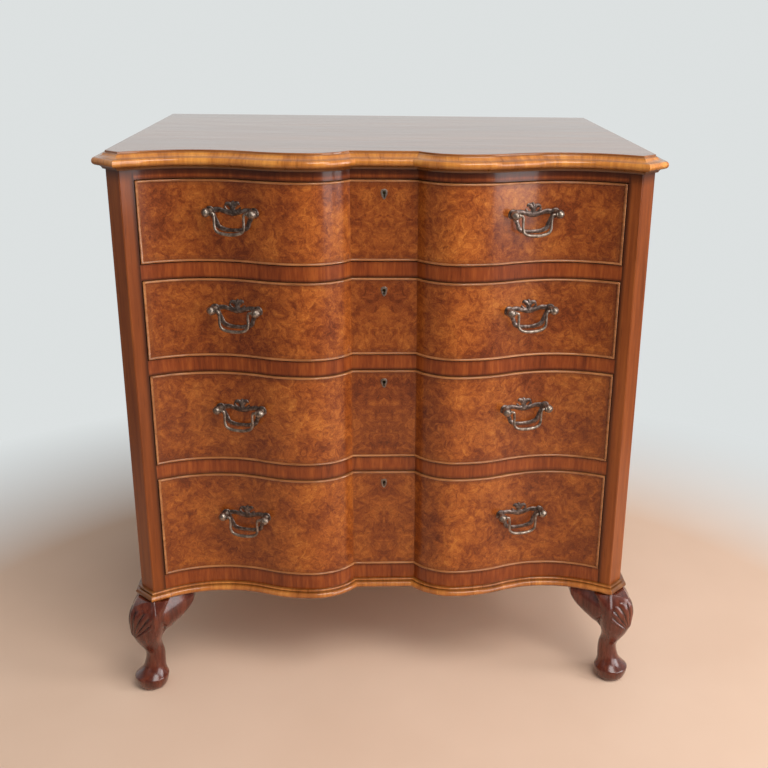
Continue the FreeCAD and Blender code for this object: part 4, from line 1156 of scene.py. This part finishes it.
def floor():
    form = Form()
    form.grid([[Vector((x, y, 0)) for x in FLOOR_REACH] for y in FLOOR_REACH])
    mesh = form.done()
    paint = Paint("floor")
    spot = paint.place()
    near = paint.ramp(paint.noise(spot, 3, 3), ((0.3, (0.7, 0.485, 0.35)), (0.7, (0.75, 0.53, 0.39))))
    length = paint.add("VectorMath", {0: spot, 1: FLOOR_MIDDLE}, operation="DISTANCE")
    away = paint.between(length.outputs["Value"], *FLOOR_FADE)
    mesh.materials.append(paint.finish(paint.mix(away, near, BACKGROUND), 0.9))
    # Far from the chest the floor is seen in the plain colour of the background
    shown, glossy = paint.rays()
    strength = paint.math("MULTIPLY_ADD", glossy, ROOM_SHADE - 1, 1)
    glow = paint.add("Emission", {"Color": BACKGROUND, "Strength": strength})
    share = paint.math("MULTIPLY", shown, away)
    mixed = paint.add("MixShader", {0: share, 1: paint.shader.outputs[0], 2: glow.outputs[0]})
    paint.put(paint.tree.nodes["Material Output"], "Surface", mixed.outputs[0])
    placed("floor", mesh)


def world():
    """A pale room, less bright low down. Seen in polish or metal, it is darker in front and to the left."""
    made = bpy.data.worlds.new("room")
    bpy.context.scene.world = made
    made.use_nodes = True
    room = Nodes(made.node_tree)
    across, back, height = room.split(room.add("TexCoord").outputs["Generated"])
    shown, glossy = room.rays()
    ahead = room.math("MULTIPLY_ADD", back, 1.6, room.math("MULTIPLY_ADD", across, 0.35, 0.62))
    ahead = room.math("MINIMUM", room.math("MAXIMUM", ahead, ROOM_SHADE), 1)
    dimmed = room.math("MULTIPLY", room.math("SUBTRACT", 1, ahead), glossy)
    low_down = room.math("MAXIMUM", room.math("MULTIPLY_ADD", height, 2.2, 0.25), 0.25)
    light = room.tree.nodes["Background"]
    room.put(light, "Color", (0.97, 0.985, 1, 1))
    room.put(light, "Strength", room.math("MULTIPLY", room.math("MINIMUM", low_down, 1), ROOM_LIGHT))
    strength = room.math("SUBTRACT", 1, dimmed)
    seen = room.add("Background", {"Color": BACKGROUND, "Strength": strength})
    mixed = room.add("MixShader", {0: shown, 1: light.outputs[0], 2: seen.outputs[0]})
    room.put(room.tree.nodes["World Output"], "Surface", mixed.outputs[0])


def lamp(name, place, target, width, height, watts, tint):
    data = bpy.data.lights.new(name, "AREA")
    data.shape = "RECTANGLE"
    data.size = width
    data.size_y = height
    data.energy = watts
    data.color = tint
    obj = placed(name, data)
    obj.location = place
    obj.rotation_euler = (Vector(target) - Vector(place)).to_track_quat("-Z", "Y").to_euler()


def camera():
    """The photograph's camera, solved from the corners of the case."""
    place = (-0.02016, -1.69139, 1.02148)
    yaw, pitch, roll = 0.0575232, 0.3438522, 0.0153157
    turn = Matrix.Rotation(-yaw, 4, "Z") @ Matrix.Rotation(pi / 2 - pitch, 4, "X")
    data = bpy.data.cameras.new("photo_camera")
    data.sensor_width = 36
    data.lens = 49.047
    data.shift_x = -0.0562
    data.shift_y = 0.0014
    obj = placed("photo_camera", data)
    obj.matrix_world = Matrix.Translation(place) @ turn @ Matrix.Rotation(roll, 4, "Z")
    bpy.context.scene.camera = obj


floor()
world()
lamp("window", (2.3, -2.3, 1.35), (0, 0, 0.8), 1.3, 2.4, 44, (0.98, 0.99, 1))
lamp("side", (2.6, -0.95, 1.25), (0, -0.2, 0.55), 1, 1.8, 42, (0.97, 0.98, 1))
lamp("overhead", (0.8, -1.8, 3), (0, 0, 0.45), 1.5, 1.5, 50, (1, 0.985, 0.96))
lamp("fill", (-2.2, -2, 1.5), (0, 0, 0.4), 1.6, 2, 3, (0.96, 0.98, 1))
camera()
bpy.context.scene.view_settings.view_transform = "Standard"
